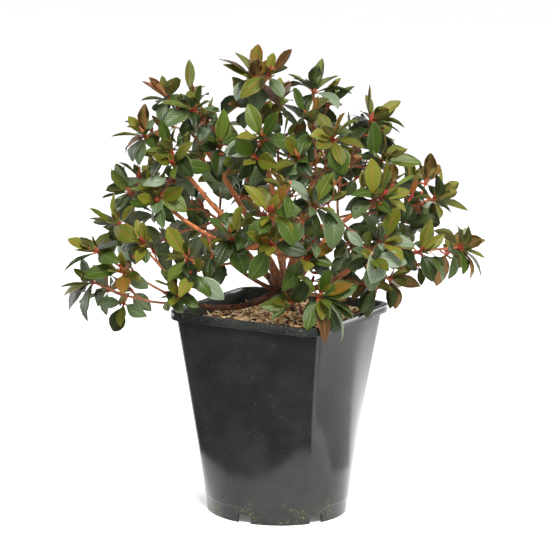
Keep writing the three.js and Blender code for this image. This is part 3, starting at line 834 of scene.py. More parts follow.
# The shades of leaf, by the material slot of the piece that holds them: upper side, underside,
# midrib, stalk and edge.
RED_STALK = (150, 60, 34)
SHADES = {
    "leaf_green": [
        ("deep_green", (32, 44, 8), (62, 76, 36), (56, 72, 26), (140, 66, 36), (58, 72, 34)),
        ("mid_green", (54, 72, 14), (74, 88, 40), (78, 92, 34), (152, 70, 36), (82, 94, 44)),
        ("fresh_green", (76, 88, 24), (90, 104, 46), (104, 110, 44), (152, 76, 38),
         (104, 112, 48)),
        ("bright_green", (86, 104, 30), (94, 112, 48), (104, 120, 46), (150, 82, 38),
         (104, 122, 50)),
    ],
    "leaf_grey_green": [
        ("grey_green", (72, 88, 50), (90, 102, 68), (94, 108, 70), (148, 78, 44), (102, 114, 82)),
        # The pale silver shade below is a grey-green leaf with a painted silvery sheen in its base
        # colours.
        ("silver_green", (104, 118, 92), (112, 122, 94), (124, 136, 108), (150, 82, 48),
         (136, 146, 120)),
    ],
    "leaf_olive": [
        ("olive", (80, 86, 18), (94, 98, 42), (128, 54, 28), RED_STALK, (112, 84, 38)),
        ("yellow_olive", (100, 104, 30), (108, 110, 46), (140, 58, 28), RED_STALK, (134, 98, 40)),
        ("rusty_olive", (104, 80, 24), (106, 88, 42), (140, 52, 28), RED_STALK, (138, 70, 34)),
    ],
    "leaf_bronze": [
        ("bronze", (70, 50, 20), (98, 82, 46), (140, 68, 32), RED_STALK, (126, 70, 34)),
        ("rose_brown", (128, 76, 38), (140, 100, 60), (164, 68, 38), RED_STALK, (160, 78, 44)),
        ("withered", (104, 74, 38), (120, 92, 54), (126, 72, 38), (120, 66, 36), (84, 50, 30)),
    ],
}

# How often each shade comes up on the old and on the young leaves of a mass of each tone.
DEALS = {
    "green": (
        [("deep_green", 40), ("mid_green", 27), ("grey_green", 20), ("silver_green", 9),
         ("fresh_green", 4)],
        [("mid_green", 25), ("fresh_green", 18), ("olive", 29), ("yellow_olive", 18),
         ("bright_green", 3), ("rusty_olive", 7)],
    ),
    "grey_green": (
        [("grey_green", 42), ("silver_green", 28), ("deep_green", 28), ("withered", 2)],
        [("grey_green", 25), ("olive", 34), ("fresh_green", 22), ("yellow_olive", 19)],
    ),
    "olive": (
        [("mid_green", 32), ("deep_green", 24), ("olive", 26), ("grey_green", 16), ("withered", 2)],
        [("yellow_olive", 40), ("olive", 34), ("rusty_olive", 22), ("rose_brown", 4)],
    ),
    "bronze": (
        [("deep_green", 34), ("bronze", 16), ("olive", 22), ("grey_green", 22), ("withered", 6)],
        [("rusty_olive", 34), ("bronze", 18), ("rose_brown", 6), ("yellow_olive", 42)],
    ),
}
YOUNG_AGE = 0.45


def deal_shade(tone, age, draw):
    """A leaf's shade: young leaves stand round the bud and are warmer."""
    deals = DEALS[tone][1 if age < YOUNG_AGE else 0]
    left = draw * sum(weight for _, weight in deals)
    for name, weight in deals:
        left -= weight
        if left <= 0:
            break
    return name


# ---------------------------------------------------------------- leaf materials

UPPER, UNDER, RIB, STALK, EDGE = range(5)
VEIN_PAIRS = 6
VEIN_SLANT = 0.62
UPPER_ROUGHNESS = 0.36
UNDER_ROUGHNESS = 0.62
LEAF_SHINE = {"leaf_green": 0.28, "leaf_grey_green": 0.42, "leaf_olive": 0.2, "leaf_bronze": 0.2}


def leaf_finish(name, colour, roughness, shine):
    """A leaf's skin in one plain colour, with side veins pressed into it."""
    finish = Finish(name)
    uv = finish.node("ShaderNodeUVMap", {"uv_map": "leaf"})
    sideways, along, _ = finish.split(uv)
    off_rib = abs(sideways - 0.5)
    veins = finish.node("ShaderNodeMath", {"operation": "SINE"},
                        {0: (along - VEIN_SLANT * off_rib) * (2 * math.pi * VEIN_PAIRS)})
    furrow = (1 - abs(veins)).smooth(0.5, 1.0)
    grain = finish.noise(700, 3.0)
    height = grain * 0.5 - furrow + off_rib.smooth(0, 0.2) * 0.5
    worn = finish.noise(160, 2.0)
    return finish.set(
        Base_Color=srgb(*colour),
        Roughness=worn * 0.2 + furrow * 0.15 + (roughness - 0.1),
        Specular_IOR_Level=shine,
        Normal=finish.bump(height, 0.0009, 1.0),
    ).material


def stalk_finish(name, colour):
    finish = Finish(name)
    ribs = finish.noise(500, 2.0)
    return finish.set(
        Base_Color=srgb(*colour),
        Roughness=ribs * 0.2 + 0.42,
        Specular_IOR_Level=0.4,
        Normal=finish.bump(ribs, 0.0003, 0.5),
    ).material


# ---------------------------------------------------------------- leaves

# Share of the leaf's length, and the half width there as a share of the widest.
LEAF_OUTLINE = ((0.0, 0.09), (0.18, 0.15), (0.32, 0.62), (0.47, 0.93), (0.63, 1.0), (0.80, 0.79),
                (0.94, 0.36), (1.0, 0.05))
RIB_SHARE = 0.032
EDGE_SHARE = 0.92
COLUMNS = (-1, -EDGE_SHARE, -RIB_SHARE, RIB_SHARE, EDGE_SHARE, 1)
TOP_SURFACES = (EDGE, UPPER, RIB, UPPER, EDGE)
LEAF_THICKNESS = 0.016
RIB_DEPTH = 0.006
STALK_SHARE = 0.1
STALK_THICKER = 1.6
TIP_FROM = 0.7
TIP_SHARP = 0.82
TIP_BLUNT = 1.16
# How a leaf's shape runs from young to old, as shares of its length, and how widely it scatters.
FORMS = 16
FORM_SEED = 900
HALF_WIDTH = (0.175, 0.265)
HALF_WIDTH_SCATTER = (0.9, 1.1)
ARCH = (-0.03, 0.15)
ARCH_SCATTER = 0.08
CUP = (0.40, -0.06)
CUP_SCATTER = 0.34
TWIST = 34
TWIST_SHARE = (0.5, 1.2)
WAVE = 0.016
SWAY = 0.08
CURL = 0.16
# How each leaf of the crown differs from the rule's: its age, hang, sway, roll, length and breadth.
AGE_SCATTER = 0.3
LEAF_HANG = 0.7
LEAF_SWAY = 0.35
LEAF_ROLL = 1.0
YOUNG_GROWTH = 1.2
OLD_GROWTH = 1.0
GROWTH_SCATTER = (0.82, 1.08)
BREADTH_SCATTER = (0.84, 1.12)

# Single leaves that stand out from the rest: what each is, the mass and the share of its stem that
# it grows from, its tip as bearing, reach and height, its breadth as a share of its form's, its
# form and its shade.
SINGLE_LEAVES = [
    ("dark leaf at the top left", "leaves_top", 1.0, (212, 61, 441), 1.15, 6, "bronze"),
    ("leaf in front of it", "leaves_top", 1.0, (210, 46, 446), 1.25, 5, "olive"),
    ("topmost leaf", "leaves_top", 1.0, (216, 26, 454), 1.0, 2, "rusty_olive"),
    ("broad leaf under the top", "leaves_top", 1.0, (255, 36, 394), 1.25, 12, "grey_green"),
    ("pale leaf under the top", "leaves_top", 1.0, (233, 52, 404), 1.1, 11, "silver_green"),
    ("round leaf before the rim", "leaves_rim_front", 1.0, (318, 107, 204), 1.65, 10, "mid_green"),
    ("bright leaf at the corner", "leaves_rim_front", 1.0, (339, 105, 207), 1.0, 9,
     "bright_green"),
    ("small upright leaf", "leaves_rim_front", 1.0, (321, 94, 244), 1.0, 1, "rusty_olive"),
    ("curled leaf over the rim", "leaves_rim_front", 1.0, (319, 117, 188), 0.6, 13, "bronze"),
    ("narrow leaf over the rim", "leaves_rim_front", 1.0, (331, 113, 190), 0.4, 11,
     "silver_green"),
    ("leaf that is dying back", "leaves_right_wing", 0.4, (12, 141, 226), 0.95, 15, "withered"),
    ("drooping leaf at the right", "leaves_right_wing", 0.7, (15, 160, 234), 1.05, 14,
     "mid_green"),
]


def leaf_point(side, share, width, shape):
    """A point of a leaf's upper side: a side from -1 to 1, at a share of its length."""
    x = shape["half"] * width * side
    z = shape["cup"] * shape["half"] * width * abs(side) ** 1.5
    z += shape["wave"] * side * math.sin(9 * share + 2 * side)
    z -= RIB_DEPTH * (abs(side) == RIB_SHARE)
    turn = shape["twist"] * share
    lift = 4 * shape["arch"] * share * (1 - share) - shape["curl"] * share ** 4
    return (x * math.cos(turn) - z * math.sin(turn) + shape["sway"] * share * share,
            share, lift + x * math.sin(turn) + z * math.cos(turn))


def leaf_form(index):
    """A leaf one unit long, along +Y with its upper side up. Forms run from young to old."""
    random = seeded(FORM_SEED + index)
    age = index / (FORMS - 1)
    blunt = random()
    shape = {
        "half": mix(*HALF_WIDTH, age) * mix(*HALF_WIDTH_SCATTER, random()),
        "arch": mix(*ARCH, age) + ARCH_SCATTER * (random() - 0.5),
        "cup": mix(*CUP, age) + CUP_SCATTER * (random() - 0.5),
        "twist": math.radians(TWIST) * (random() - 0.5) * mix(*TWIST_SHARE, age),
        "wave": WAVE * random(),
        "sway": SWAY * (random() - 0.5),
        "curl": CURL * age * random(),
    }
    points = []
    for share, width in LEAF_OUTLINE:
        if share > TIP_FROM:
            width *= mix(TIP_SHARP, TIP_BLUNT, blunt)
        upper = [leaf_point(side, share, width, shape) for side in COLUMNS]
        drop = LEAF_THICKNESS * (STALK_THICKER if share < STALK_SHARE else 1)
        points += upper
        points += [(x, y, z - drop) for x, y, z in upper[2:4]]
    faces, surfaces = leaf_faces()
    mesh = bpy.data.meshes.new(f"leaf_form_{index:02d}")
    mesh.from_pydata(points, [], faces)
    smooth_faces(mesh)
    mesh.attributes.new("surface", "INT", "FACE").data.foreach_set("value", surfaces)
    uv = mesh.uv_layers.new(name="leaf")
    sides = COLUMNS + (-RIB_SHARE, RIB_SHARE)
    flat = []
    for loop in mesh.loops:
        station, column = divmod(loop.vertex_index, len(sides))
        share, width = LEAF_OUTLINE[station]
        flat += [0.5 + 0.5 * sides[column] * width, share]
    uv.data.foreach_set("uv", flat)
    return bpy.data.objects.new(mesh.name, mesh)


def leaf_faces():
    """A leaf's faces and their surfaces: edge, blade, midrib, blade, edge, then the underside."""
    row = len(COLUMNS) + 2
    upper = list(zip(range(5), range(1, 6), TOP_SURFACES))
    under = [(5, 7, UNDER), (7, 6, RIB), (6, 0, UNDER)]
    faces = []
    surfaces = []
    for station in range(len(LEAF_OUTLINE) - 1):
        a = station * row
        b = a + row
        for first, second, surface in upper + under:
            faces.append((a + first, a + second, b + second, b + first))
            surfaces.append(STALK if station == 0 else surface)
    top = (len(LEAF_OUTLINE) - 1) * row
    faces.append((0, 6, 7, 5, 4, 3, 2, 1))
    faces.append(tuple(top + corner for corner in (0, 1, 2, 3, 4, 5, 7, 6)))
    surfaces += [STALK, EDGE]
    return faces, surfaces


def set_materials(grower, geometry, chooser, materials):
    """Set Material for each surface and shade: materials by (surface, shade)."""
    shade = grower.named("shade", "INT")
    surface = grower.named(chooser, "INT")
    for (side, tone), material in materials.items():
        here = grower.node("FunctionNodeBooleanMath", {"operation": "AND"}, {
            0: grower.equals(surface, side), 1: grower.equals(shade, tone)})
        geometry = grower.node("GeometryNodeSetMaterial", {}, {
            "Geometry": geometry, "Selection": here, "Material": material})
    return geometry


def point_holder(name, rows, vectors, numbers):
    """A mesh of loose points, in millimetres, that carries named values for a geometry tree."""
    mesh = plain_mesh(name, [row["root"] for row in rows], [])
    for key in vectors:
        flat = [float(c) for row in rows for c in row[key]]
        mesh.attributes.new(key, "FLOAT_VECTOR", "POINT").data.foreach_set("vector", flat)
    for key in numbers:
        flat = [row[key] for row in rows]
        mesh.attributes.new(key, "INT", "POINT").data.foreach_set("value", flat)
    return add_object(name, mesh)


def scatter(name, rows, forms, materials, chooser):
    """Puts one of the forms at every row: way, face and size place it, shade colours it."""
    holder = point_holder(name, rows, ("way", "face", "size"), ("form", "shade"))
    grower = Grower(name)
    collection = grower.size("Forms", "NodeSocketCollection", forms)
    scale = grower.size("Size", "NodeSocketFloat", MM)
    instances = grower.node("GeometryNodeCollectionInfo", {}, {
        "Collection": collection, "Separate Children": True, "Reset Children": True})
    rotation = grower.node("FunctionNodeAxesToRotation",
                           {"primary_axis": "Y", "secondary_axis": "Z"},
                           {"Primary Axis": grower.named("way", "FLOAT_VECTOR"),
                            "Secondary Axis": grower.named("face", "FLOAT_VECTOR")})
    size = grower.node("ShaderNodeVectorMath", {"operation": "SCALE"}, {
        0: grower.named("size", "FLOAT_VECTOR"), "Scale": scale})
    placed = grower.node("GeometryNodeInstanceOnPoints", {}, {
        "Points": grower.geometry(), "Instance": instances, "Pick Instance": True,
        "Instance Index": grower.named("form", "INT"), "Rotation": rotation, "Scale": size})
    realized = grower.node("GeometryNodeRealizeInstances", {}, {"Geometry": placed})
    mesh = grower.run(holder, set_materials(grower, realized, chooser, materials))
    drop_attributes(mesh)
    return add_object(name, mesh)


def drop_attributes(mesh):
    """Takes off the values that only the geometry tree needed."""
    for key in ("way", "face", "size", "form", "shade", "surface", "girth"):
        if key in mesh.attributes:
            mesh.attributes.remove(mesh.attributes[key])


def form_collection(name, objects):
    collection = bpy.data.collections.new(name)
    for form in objects:
        collection.objects.link(form)
    return collection


def leaf_row(leaf, tone, random):
    """A grown leaf with its form, shade and size drawn, and its own hang and roll."""
    age = min(1, max(0, leaf["age"] + AGE_SCATTER * (random() - 0.5)))
    hang = LEAF_HANG * age * random() ** 1.5
    way = unit(leaf["way"] - UP * hang + leaf["wide"] * LEAF_SWAY * (random() - 0.5))
    roll = leaf["wide"] * LEAF_ROLL * (random() - 0.5)
    face = cross(leaf["wide"], way)
    length = leaf["length"] * mix(YOUNG_GROWTH, OLD_GROWTH, age) * mix(*GROWTH_SCATTER, random())
    breadth = length * mix(*BREADTH_SCATTER, random())
    return {
        "root": leaf["root"],
        "way": way,
        "face": unit(face + roll),
        "size": (breadth, length, length),
        "form": round(age * (FORMS - 1)),
        "shade_name": deal_shade(tone, leaf["age"], random()),
    }


def single_rows():
    """The leaves that stand out, each from a point of a stem to its tip."""
    rows = []
    for _, mass, share, tip, breadth, form, shade_name in SINGLE_LEAVES:
        start = through(LIMBS[mass]["points"], share)
        line = place(*tip) - start
        length = length_of(line)
        way = unit(line)
        wide = unit(cross(way, UP))
        rows.append({"root": start, "way": way, "face": cross(wide, way),
                     "size": (length * breadth, length, length), "form": form,
                     "shade_name": shade_name})
    return rows


def make_leaves(masses):
    """One piece of leaves for each leaf slot, of all the leaves with its shades."""
    forms = form_collection("leaf_forms", [leaf_form(i) for i in range(FORMS)])
    rows = []
    for grown in masses:
        mass = grown["mass"]
        random = seeded(mass["seed"] + 2 * FINE_SEED)
        rows += [leaf_row(leaf, mass["tone"], random) for leaf in grown["leaves"]]
    rows += single_rows()
    for slot, shades in SHADES.items():
        names = [shade[0] for shade in shades]
        materials = {}
        for index, (name, upper, under, rib, stalk, edge) in enumerate(shades):
            shine = LEAF_SHINE[slot]
            materials[UPPER, index] = leaf_finish(name, upper, UPPER_ROUGHNESS, shine)
            materials[UNDER, index] = leaf_finish(f"{name}_under", under, UNDER_ROUGHNESS, shine)
            materials[RIB, index] = stalk_finish(f"{name}_rib", rib)
            materials[STALK, index] = stalk_finish(f"{name}_stalk", stalk)
            materials[EDGE, index] = stalk_finish(f"{name}_edge", edge)
        mine = [row for row in rows if row["shade_name"] in names]
        for row in mine:
            row["shade"] = names.index(row["shade_name"])
        piece = scatter(f"foliage_{slot[5:]}", mine, forms, materials, "surface")
        nodes = [row[0] for row in MASSES if row[6] == slot[5:]]
        dress(piece, slot, *nodes)


# ---------------------------------------------------------------- buds

BUD_RINGS = ((0.0, 0.55), (0.18, 0.85), (0.42, 1.0), (0.7, 0.70), (0.9, 0.34), (1.0, 0.05))
BUD_SIDES = 6
BUD_FORMS = 4
BUD_FORM_SEED = 700
BUD_LEAST_WIDTH = 0.13
BUD_MOST_WIDTH = 0.19
# How far the scales' edges turn from ring to ring, and how far every second one stands out.
BUD_TURN = 0.35
BUD_RAISED = 1.12
BUD_SUNK = 0.92
BUD_DEPTH = 3.0
BUD_FACE = np.array((0.3, 0.9, 0.1))
BUD_COLOURS = ((122, 46, 28), (134, 74, 34), (136, 42, 32))
# Scales in a group, how far they lean apart in degrees, and their shortest and longest.
LEADING_BUD = (3, 20, 9, 15)
FINE_BUD = (2, 14, 6, 10)


def bud_form(index):
    """A bud one unit long, along +Y, with scales that stand out in turn."""
    random = seeded(BUD_FORM_SEED + index)
    width = mix(BUD_LEAST_WIDTH, BUD_MOST_WIDTH, random())
    points = []
    for ring, (share, swell) in enumerate(BUD_RINGS):
        for side in range(BUD_SIDES):
            angle = 2 * math.pi * side / BUD_SIDES + BUD_TURN * ring
            radius = width * swell * (BUD_RAISED if (side + ring) % 2 else BUD_SUNK)
            points.append((radius * math.cos(angle), share, radius * math.sin(angle)))
    faces = band_faces(len(BUD_RINGS), BUD_SIDES, turned=True)
    last = (len(BUD_RINGS) - 1) * BUD_SIDES
    faces.append(tuple(range(BUD_SIDES)))
    faces.append(tuple(last + side for side in reversed(range(BUD_SIDES))))
    mesh = bpy.data.meshes.new(f"bud_form_{index}")
    mesh.from_pydata(points, [], faces)
    smooth_faces(mesh)
    mesh.attributes.new("surface", "INT", "FACE").data.foreach_set("value", [0] * len(faces))
    return bpy.data.objects.new(mesh.name, mesh)


def make_buds(masses):
    """A group of long bud scales at the tip of every shoot and twig."""
    forms = form_collection("bud_forms", [bud_form(i) for i in range(BUD_FORMS)])
    rows = []
    for grown in masses:
        random = seeded(grown["mass"]["seed"] + 3 * FINE_SEED)
        for twig in grown["twigs"]:
            count, lean, shortest, longest = LEADING_BUD if twig["count"] else FINE_BUD
            phase = 360 * random()
            for i in range(count):
                way = leaning(twig["axis"], lean * random(), phase + 360 / count * i)
                length = mix(shortest, longest, random())
                rows.append({"root": twig["top"] - way * BUD_DEPTH, "way": way,
                             "face": unit(cross(way, BUD_FACE)),
                             "size": (length, length, length),
                             "form": int(BUD_FORMS * random()) % BUD_FORMS,
                             "shade": int(len(BUD_COLOURS) * random()) % len(BUD_COLOURS)})
    materials = {(0, i): stalk_finish(f"bud_{i}", colour) for i, colour in enumerate(BUD_COLOURS)}
    return dress(scatter("buds", rows, forms, materials, "surface"), "leaf_bronze")


# ---------------------------------------------------------------- twigs

TWIG_SIDES = 7
STEM_POINTS_ALONG = 10
STEM_TUBE_TIP = 1.15
STEM_BUD_GIRTH = 1.3
BUD_SEAT = 1.5
TWIG_POINTS_ALONG = 5
TWIG_SAG = -0.06
TWIG_FOOT = 1.1
TWIG_NECK = 0.95
TWIG_TIP = 1.2
RED_TWIGS = 0.75


def make_tubes(name, tubes, materials):
    """Round tubes along paths, with a girth at every point, closed at both ends."""
    points = []
    edges = []
    girths = []
    shades = []
    for tube in tubes:
        first = len(points)
        points += list(tube["path"])
        girths += tube["girths"]
        shades += [tube["shade"]] * len(tube["path"])
        edges += [(first + i, first + i + 1) for i in range(len(tube["path"]) - 1)]
    mesh = bpy.data.meshes.new(name)
    mesh.from_pydata([tuple(float(c) * MM for c in point) for point in points], edges, [])
    mesh.attributes.new("girth", "FLOAT", "POINT").data.foreach_set("value", girths)
    mesh.attributes.new("shade", "INT", "POINT").data.foreach_set("value", shades)
    grower = Grower(name)
    sides = grower.size("Sides", "NodeSocketInt", TWIG_SIDES)
    scale = grower.size("Size", "NodeSocketFloat", MM)
    curve = grower.node("GeometryNodeMeshToCurve", {}, {"Mesh": grower.geometry()})
    profile = grower.node("GeometryNodeCurvePrimitiveCircle", {}, {
        "Resolution": sides, "Radius": 1.0})
    girth = grower.node("ShaderNodeMath", {"operation": "MULTIPLY"}, {
        0: grower.named("girth", "FLOAT"), 1: scale})
    tube = grower.node("GeometryNodeCurveToMesh", {}, {
        "Curve": curve, "Profile Curve": profile, "Scale": girth, "Fill Caps": True})
    tube = grower.node("GeometryNodeRealizeInstances", {}, {"Geometry": tube})
    shade = grower.named("shade", "INT")
    for index, material in enumerate(materials):
        tube = grower.node("GeometryNodeSetMaterial", {}, {
            "Geometry": tube, "Selection": grower.equals(shade, index), "Material": material})
    result = grower.run(add_object(name, mesh), tube)
    drop_attributes(result)
    return add_object(name, smooth_faces(result))


def stem_tubes(grown):
    """The stem of a mass from inside its fork to its bud, and its shoots and fine twigs."""
    mass = grown["mass"]
    random = seeded(mass["seed"] + 4 * FINE_SEED)
    start = mass["points"][0]
    shares = [i / STEM_POINTS_ALONG for i in range(STEM_POINTS_ALONG + 1)]
    path = [mass["fork"]] + bend(start, mass["way"], mass["tip"], STEM_POINTS_ALONG)
    path.append(mass["tip"] + grown["twigs"][0]["axis"] * BUD_SEAT)
    girths = [STEM_RADIUS * STUB_SWELL]
    girths += [mix(STEM_RADIUS, STEM_TUBE_TIP, share) for share in shares]
    girths.append(STEM_BUD_GIRTH)
    tubes = [{"path": path, "girths": girths, "shade": 0}]
    shares = [i / TWIG_POINTS_ALONG for i in range(TWIG_POINTS_ALONG + 1)]
    for twig in grown["twigs"][1:]:
        start = twig["path"][-1]
        line = twig["top"] - start
        sag = UP * (TWIG_SAG * length_of(line))
        curve = [start + line * share + sag * (4 * share * (1 - share)) for share in shares]
        curve.append(twig["top"] + twig["axis"] * BUD_SEAT)
        radius = twig["radius"]
        girths = [radius * mix(TWIG_FOOT, TWIG_NECK, share) for share in shares]
        girths.append(radius * TWIG_TIP)
        tubes.append({"path": curve, "girths": girths, "shade": 1 if random() < RED_TWIGS else 0})
    return tubes


def make_twigs(masses):
    """The stems and twigs of all the masses as one piece, most of the twigs red."""
    tubes = [tube for grown in masses for tube in stem_tubes(grown)]
    materials = [twig_finish("twig_brown", (150, 90, 46), (104, 60, 34)),
                 twig_finish("twig_red", (184, 98, 46), (146, 68, 34))]
    return dress(make_tubes("twigs", tubes, materials), "bark")


def twig_finish(name, light, dark):
    finish = Finish(name)
    blotch = finish.noise(260, 3.0)
    hairs = finish.noise(1400, 2.0)
    return finish.set(
        Base_Color=finish.blended(blotch.smooth(0.35, 0.65), srgb(*dark), srgb(*light)),
        Roughness=blotch * 0.2 + 0.5,
        Normal=finish.bump(hairs, 0.0003, 0.6),
    ).material


# ---------------------------------------------------------------- bark of the trunk and boughs

BOUGH_SIDES = 14
BOUGH_STEP = 1.6
BOUGH_LEAST_STEPS = 6
FORK_RINGS = 4
COLLAR_SWELL = 0.28
COLLAR_RING = 3
COLLAR_SPREAD = 2
CROOK_MOST = 1.6
CROOK_SHARE = 0.3
CROOK_SCALE = 0.035
# How far a bough hangs below its solid's line at the middle.
BOUGH_SAG = {"bough_low_left": 4.5}

RIDGE_ACROSS = 0.55
RIDGE_ALONG = 0.13
KNOT_SHARE = 0.45
BOUGH_RELIEF = 0.10
BOUGH_RELIEF_LEAST = 0.08
BOUGH_KNOTS = 0.34
TRUNK_RELIEF = 1.1
TRUNK_KNOTS = 0.7

TRUNK_SIDES = 60
TRUNK_RINGS = 34
# Height above the soil, radius, and how deep the flare's lobes are there.
TRUNK_PROFILE = (
    (0, TRUNK_FLARE, 0.16), (2, 15.0, 0.15), (4, mix(TRUNK_FLARE, TRUNK_NECK, 0.5), 0.12),
    (7, 11.4, 0.09), (11, mix(TRUNK_FLARE, TRUNK_NECK, 0.9), 0.06), (15, 9.7, 0.045),
    (20, TRUNK_NECK, 0.03), (23, TRUNK_NECK * 0.8, 0.02), (24, TRUNK_NECK * 0.5, 0),
)
STUB_SIDES = 18
STUB_STEPS = 8
STUB_SUNK = 4
STUB_FOOT = 1.9
STUB_TIP = 1.15

# Heights in metres between which the foot's old bark, darkened further by painted shade, gives way
# to young bark, and its colours.
SHADED_OLD_BARK_TOP = 0.216
YOUNG_UNSHADED_BARK_FOOT = 0.272
OLD_BARK_IN_SHADE = ((102, 58, 36), (50, 30, 20))
PORE = (205, 150, 96)
# Light and dark streaks, how plain the pores are, and how fine the streaks on each axis.
BOUGH_BARK = ((192, 114, 58), (134, 74, 38), 0.7, (250, 250, 180))
# The trunk's colours are darker than the boughs', partly its old bark and partly painted shade under
# the crown.
TRUNK_BARK_IN_SHADE = ((110, 62, 38), (50, 30, 20), 0.25, (420, 420, 130))


def bark_finish(name, light, dark, spots, grain):
    """Flaking bark: long streaks along the limb, with small pale pores."""
    finish = Finish(name)
    streaks = finish.noise(1.0, 4.0, 0.6, finish.stretched(*grain))
    patches = finish.noise(70, 3.0)
    _, _, height = finish.split(finish.place())
    shaded_old_light, shaded_old_dark = OLD_BARK_IN_SHADE
    body = finish.blended(streaks.smooth(0.36, 0.66), srgb(*dark), srgb(*light))
    old = finish.blended(streaks.smooth(0.36, 0.66), srgb(*shaded_old_dark), srgb(*shaded_old_light))
    # Low down the bark is darker: partly the old bark's own colour, partly painted shade under the
    # crown.
    body = finish.blended(height.smooth(SHADED_OLD_BARK_TOP, YOUNG_UNSHADED_BARK_FOOT), old, body)
    body = finish.blended(patches.smooth(0.45, 0.75) * 0.5, body, srgb(*dark))
    pores = 1 - finish.cells(210).smooth(0.10, 0.2)
    body = finish.blended(pores * spots, body, srgb(*PORE))
    return finish.set(
        Base_Color=body,
        Roughness=streaks * 0.25 + 0.55,
        Normal=finish.bump(streaks + pores * 0.5, 0.0007, 0.8),
    ).material


def rings_mesh(rings):
    """A closed skin over rings of points that all have the same count."""
    sides = len(rings[0])
    points = [point for ring in rings for point in ring]
    last = (len(rings) - 1) * sides
    faces = band_faces(len(rings), sides)
    faces.append(tuple(reversed(range(sides))))
    faces.append(tuple(last + side for side in range(sides)))
    return points, faces


def relief(point, depth, fine):
    """How far bark stands out or in at a point: ridges that run along Z, and small knots."""
    x, y, z = point
    ridges = noise.noise(Vector((x * RIDGE_ACROSS, y * RIDGE_ACROSS, z * RIDGE_ALONG)))
    knots = noise.noise(Vector((x * fine, y * fine, z * fine)))
    return depth * ridges + KNOT_SHARE * depth * knots


def bark_tube(path, radii, sides):
    """Rings round a path, with bark relief and the bends carried along without twisting."""
    side = across(unit(path[1] - path[0]))
    rings = []
    along = 0.0
    for i, point in enumerate(path):
        ahead = path[min(i + 1, len(path) - 1)]
        behind = path[max(i - 1, 0)]
        along += length_of(point - behind)
        tangent = unit(ahead - behind)
        side = unit(side - tangent * (side @ tangent))
        other = cross(tangent, side)
        ring = []
        for k in range(sides):
            angle = 2 * math.pi * k / sides
            out = side * math.cos(angle) + other * math.sin(angle)
            lie = (radii[i] * math.cos(angle), radii[i] * math.sin(angle), along)
            depth = BOUGH_RELIEF * radii[i] + BOUGH_RELIEF_LEAST
            rise = relief(lie + path[-1], depth, BOUGH_KNOTS)
            ring.append(point + out * (radii[i] + rise))
        rings.append(ring)
    return rings


def bough_path(child):
    """A limb's line from inside its fork to its tip, with small crooks in it."""
    start = child["points"][0]
    foot = child["foot"]
    steps = max(BOUGH_LEAST_STEPS, int(length_of(child["tip"] - start) / BOUGH_STEP))
    path = [mix(child["fork"], start, i / FORK_RINGS) for i in range(FORK_RINGS)]
    path += bend(start, child["way"], child["tip"], steps)
    radii = [mix(foot * STUB_SWELL, foot, i / FORK_RINGS) for i in range(FORK_RINGS)]
    radii += [mix(foot, child["tip_radius"], i / steps) for i in range(steps + 1)]
    sag = BOUGH_SAG.get(child["name"], 0)
    for i in range(FORK_RINGS, len(path)):
        middle = math.sin(math.pi * (i - FORK_RINGS) / steps)
        path[i] = path[i] - UP * (sag * middle)
        crook = noise.noise_vector(Vector([float(c) * CROOK_SCALE for c in path[i]]))
        path[i] = path[i] + middle * min(CROOK_MOST, CROOK_SHARE * foot) * np.array(crook)
    for i in range(len(path)):
        radii[i] *= 1 + COLLAR_SWELL * math.exp(-((i - COLLAR_RING) / COLLAR_SPREAD) ** 2)
    return path, radii


def join_skins(name, skins):
    """One smooth piece of several closed skins."""
    points = []
    faces = []
    for skin_points, skin_faces in skins:
        first = len(points)
        points += skin_points
        faces += [tuple(first + corner for corner in face) for face in skin_faces]
    return add_object(name, smooth_faces(plain_mesh(name, points, faces)))


def make_boughs():
    """The boughs as one piece, each a tapering limb with bark relief."""
    skins = []
    for name, *_ in BOUGHS:
        path, radii = bough_path(LIMBS[name])
        skins.append(rings_mesh(bark_tube(path, radii, BOUGH_SIDES)))
    piece = join_skins("bough_bark", skins)
    piece.data.materials.append(bark_finish("bark_bough", *BOUGH_BARK))
    return dress(piece, "bark", *[row[0] for row in BOUGHS])


def make_trunk():
    """The short trunk: a lobed flare at the ground, narrowing to the fork, with deep old bark
    darkened by painted shade.
    """
    lean = place(TRUNK_LEAN_BEARING, TRUNK_LEAN, 0)
    heights, widths, lobes = zip(*TRUNK_PROFILE)
    rings = []
    for rise in np.linspace(0, heights[-1], TRUNK_RINGS):
        radius = float(np.interp(rise, heights, widths))
        depth = float(np.interp(rise, heights, lobes))
        shift = lean * (rise / (FORK_HEIGHT - TRUNK_FOOT))
        ring = []
        for k in range(TRUNK_SIDES):
            angle = 2 * math.pi * k / TRUNK_SIDES
            out = np.array((math.cos(angle), math.sin(angle), 0.0))
            spot = out * (radius * (1 + depth * math.cos(FLARE_LOBES * angle))) + shift
            spot = spot + UP * (TRUNK_FOOT + rise)
            ring.append(spot + out * relief(spot, TRUNK_RELIEF, TRUNK_KNOTS))
        rings.append(ring)
    skins = [rings_mesh(rings)]
    shares = [i / STUB_STEPS for i in range(STUB_STEPS + 1)]
    for child in LIMBS.values():
        if child["is_limb"] and child["stub"] == TRUNK_STUB:
            path = [child["fork"] + child["way"] * (TRUNK_STUB * share - STUB_SUNK)
                    for share in shares]
            radii = [child["foot"] * mix(STUB_FOOT, STUB_TIP, share) for share in shares]
            skins.append(rings_mesh(bark_tube(path, radii, STUB_SIDES)))
    piece = join_skins("trunk_bark", skins)
    piece.data.materials.append(bark_finish("bark_trunk", *TRUNK_BARK_IN_SHADE))
    return dress(piece, "bark", "trunk")


# ---------------------------------------------------------------- pot

POT_SIDES = 176
WALL_STEPS = 24
INSIDE_STEPS = 8
FLOOR_ROUND = 3
LEDGE = 0.7
LEDGE_ROUND = 0.6
